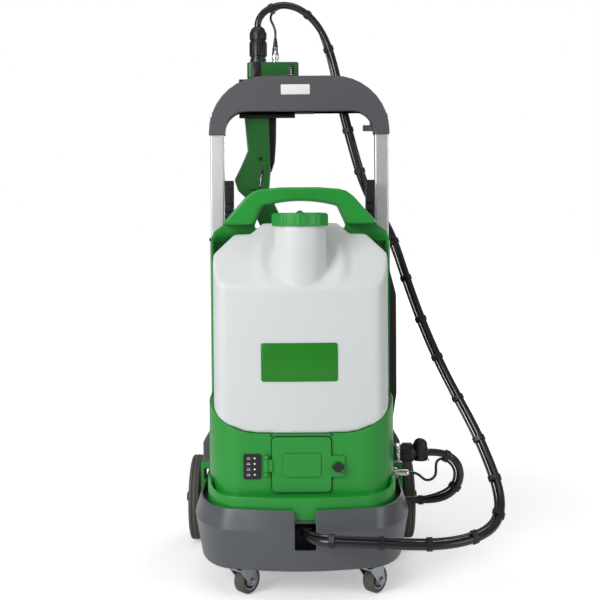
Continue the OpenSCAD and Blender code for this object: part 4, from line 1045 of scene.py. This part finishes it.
def webStrip(points, plan, side):
    # flat woven strip along a line on the strap's outer face, and the places and leans of its stitches
    line = flowing([(side * x, plan["face"], z) for x, z in points], plan["steps"])
    half, up, base = plan["web"] / 2000, plan["thick"] / 1000, (plan["face"] - plan["sunk"]) / 1000
    verts, faces, stitches = [], [], []
    for i, p in enumerate(line):
        t = (line[min(i + 1, len(line) - 1)] - line[max(i - 1, 0)]).normalized()
        n = t.cross(Vector((0, 1, 0))).normalized()
        for w, y in ((-half, base), (half, base), (half * 0.97, base + up), (-half * 0.97, base + up)):
            verts.append((p.x + n.x * w, y, p.z + n.z * w))
        if i:
            faces += wallBetween(i - 1, i)
        if 0 < i < len(line) - 1:
            for w in (-half * plan["stitchAt"], half * plan["stitchAt"]):
                place = (p.x + n.x * w, base + up, p.z + n.z * w)
                stitches.append((place, math.degrees(math.atan2(t.x, t.z))))
    faces += [(0, 1, 2, 3), tuple(len(verts) - 4 + k for k in (3, 2, 1, 0))]
    return fromPoints("web", verts, faces), stitches


def sewnStraps(plan):
    straps = copyNode("shoulder_straps", "shoulder_straps_padded")
    roundEdges(straps, 0.0045, 4, 50)
    smoothShade(straps, 50)
    fitOn(straps, "backpack", "webbing", "shoulder_straps")
    strips, threads, buckles = [], [], []
    for side, word in ((1, "right"), (-1, "left")):
        strip, stitches = webStrip(plan[word], plan, side)
        strips.append(strip)
        for place, lean in stitches:
            threads.append(turnAbout(block("stitch", place, mm(0.7, 0.6, 4.2)), place, (0, 1, 0), lean))
        x, z = side * plan[word][-2][0], plan[word][-2][1] - plan["buckleBelow"]
        y = plan["face"] + 0.9
        buckles.append(block("buckle", mm(x, y, z), mm(31, 1.8, 26), 0.003, 0.0005))
        buckles += [block("bar", mm(x, y + 0.4, z + d), mm(27, 1.6, 3.2), 0, 0.0006) for d in (-9, 0, 9)]
    fitOn(joined("strap_webbing", strips), "backpack", "strap", slot="webbing")
    fitOn(joined("strap_stitching", threads), "backpack", "thread", slot="webbing")
    fitOn(joined("strap_buckles", buckles), "backpack", "black_plastic")


sewnStraps(strapPlan)
print("straps sewn")


scene.view_settings.view_transform = "Standard"

# finish for what is left as the part has it
for node, obj in frame["nodes"].items():
    if not obj.hide_render:
        wear(obj, slotOf[node])


# floor, backdrop and soft studio light

studio = {"floorSize": 30.0, "floorZ": -0.0005, "floor": "#f4f4f4", "glowNear": 0.4, "glowFar": 1.0, "near": 0.55,
          "far": 2.2, "sky": 0.26, "lampAim": (0, 0, 0.5)}


def setStudio(plan):
    bpy.ops.object.select_all(action="DESELECT")
    bpy.ops.mesh.primitive_plane_add(size=plan["floorSize"], location=(0, 0, plan["floorZ"]))
    floor = settle(bpy.context.object, "studio_floor")
    paint, tree, shader = newFinish("studioFloor", {"Base Color": linear(plan["floor"]), "Roughness": 0.9})
    # seen by the camera it is white, less so near the object, where the shadow has to show
    rays = addNode(tree, "ShaderNodeLightPath")
    place = addNode(tree, "ShaderNodeTexCoord")
    reach = addNode(tree, "ShaderNodeVectorMath", {0: place.outputs["Object"]}, operation="LENGTH")
    level = addNode(tree, "ShaderNodeMapRange", {"Value": reach.outputs["Value"], "From Min": plan["near"],
                                                 "From Max": plan["far"], "To Min": plan["glowNear"],
                                                 "To Max": plan["glowFar"]}, interpolation_type="SMOOTHSTEP")
    glow = addNode(tree, "ShaderNodeMath", {0: rays.outputs["Is Camera Ray"], 1: level.outputs["Result"]},
                   operation="MULTIPLY")
    shader.inputs["Emission Color"].default_value = (1, 1, 1, 1)
    tree.links.new(glow.outputs["Value"], shader.inputs["Emission Strength"])
    floor.data.materials.append(paint)
    scene.world = bpy.data.worlds.new("studio")
    scene.world.use_nodes = True
    sky = scene.world.node_tree
    rays = addNode(sky, "ShaderNodeLightPath")
    seen = addNode(sky, "ShaderNodeMath", {0: rays.outputs["Is Camera Ray"], 1: rays.outputs["Is Transmission Ray"]},
                   operation="MAXIMUM")
    level = addNode(sky, "ShaderNodeMapRange", {"Value": seen.outputs["Value"], "To Min": plan["sky"], "To Max": 1.0})
    backdrop = sky.nodes["Background"]
    backdrop.inputs["Color"].default_value = (1, 1, 1, 1)
    sky.links.new(level.outputs["Result"], backdrop.inputs["Strength"])


softLamps = {
    "keyLeft": {"place": (-1.7, -1.9, 1.5), "size": 1.2, "power": 46},
    "fillRight": {"place": (1.9, -1.4, 1.0), "size": 1.0, "power": 9},
    "topSoft": {"place": (-0.2, -0.6, 2.6), "size": 1.5, "power": 9},
    "backRim": {"place": (0.9, 2.0, 1.3), "size": 1.4, "power": 15},
}
for name, lamp in softLamps.items():
    data = bpy.data.lights.new(name, "AREA")
    data.shape = "SQUARE"
    data.size = lamp["size"]
    data.energy = lamp["power"]
    linked(name, data).matrix_world = facing(lamp["place"], Vector(lamp["place"]) - Vector(studio["lampAim"]))
setStudio(studio)
print("studio set")
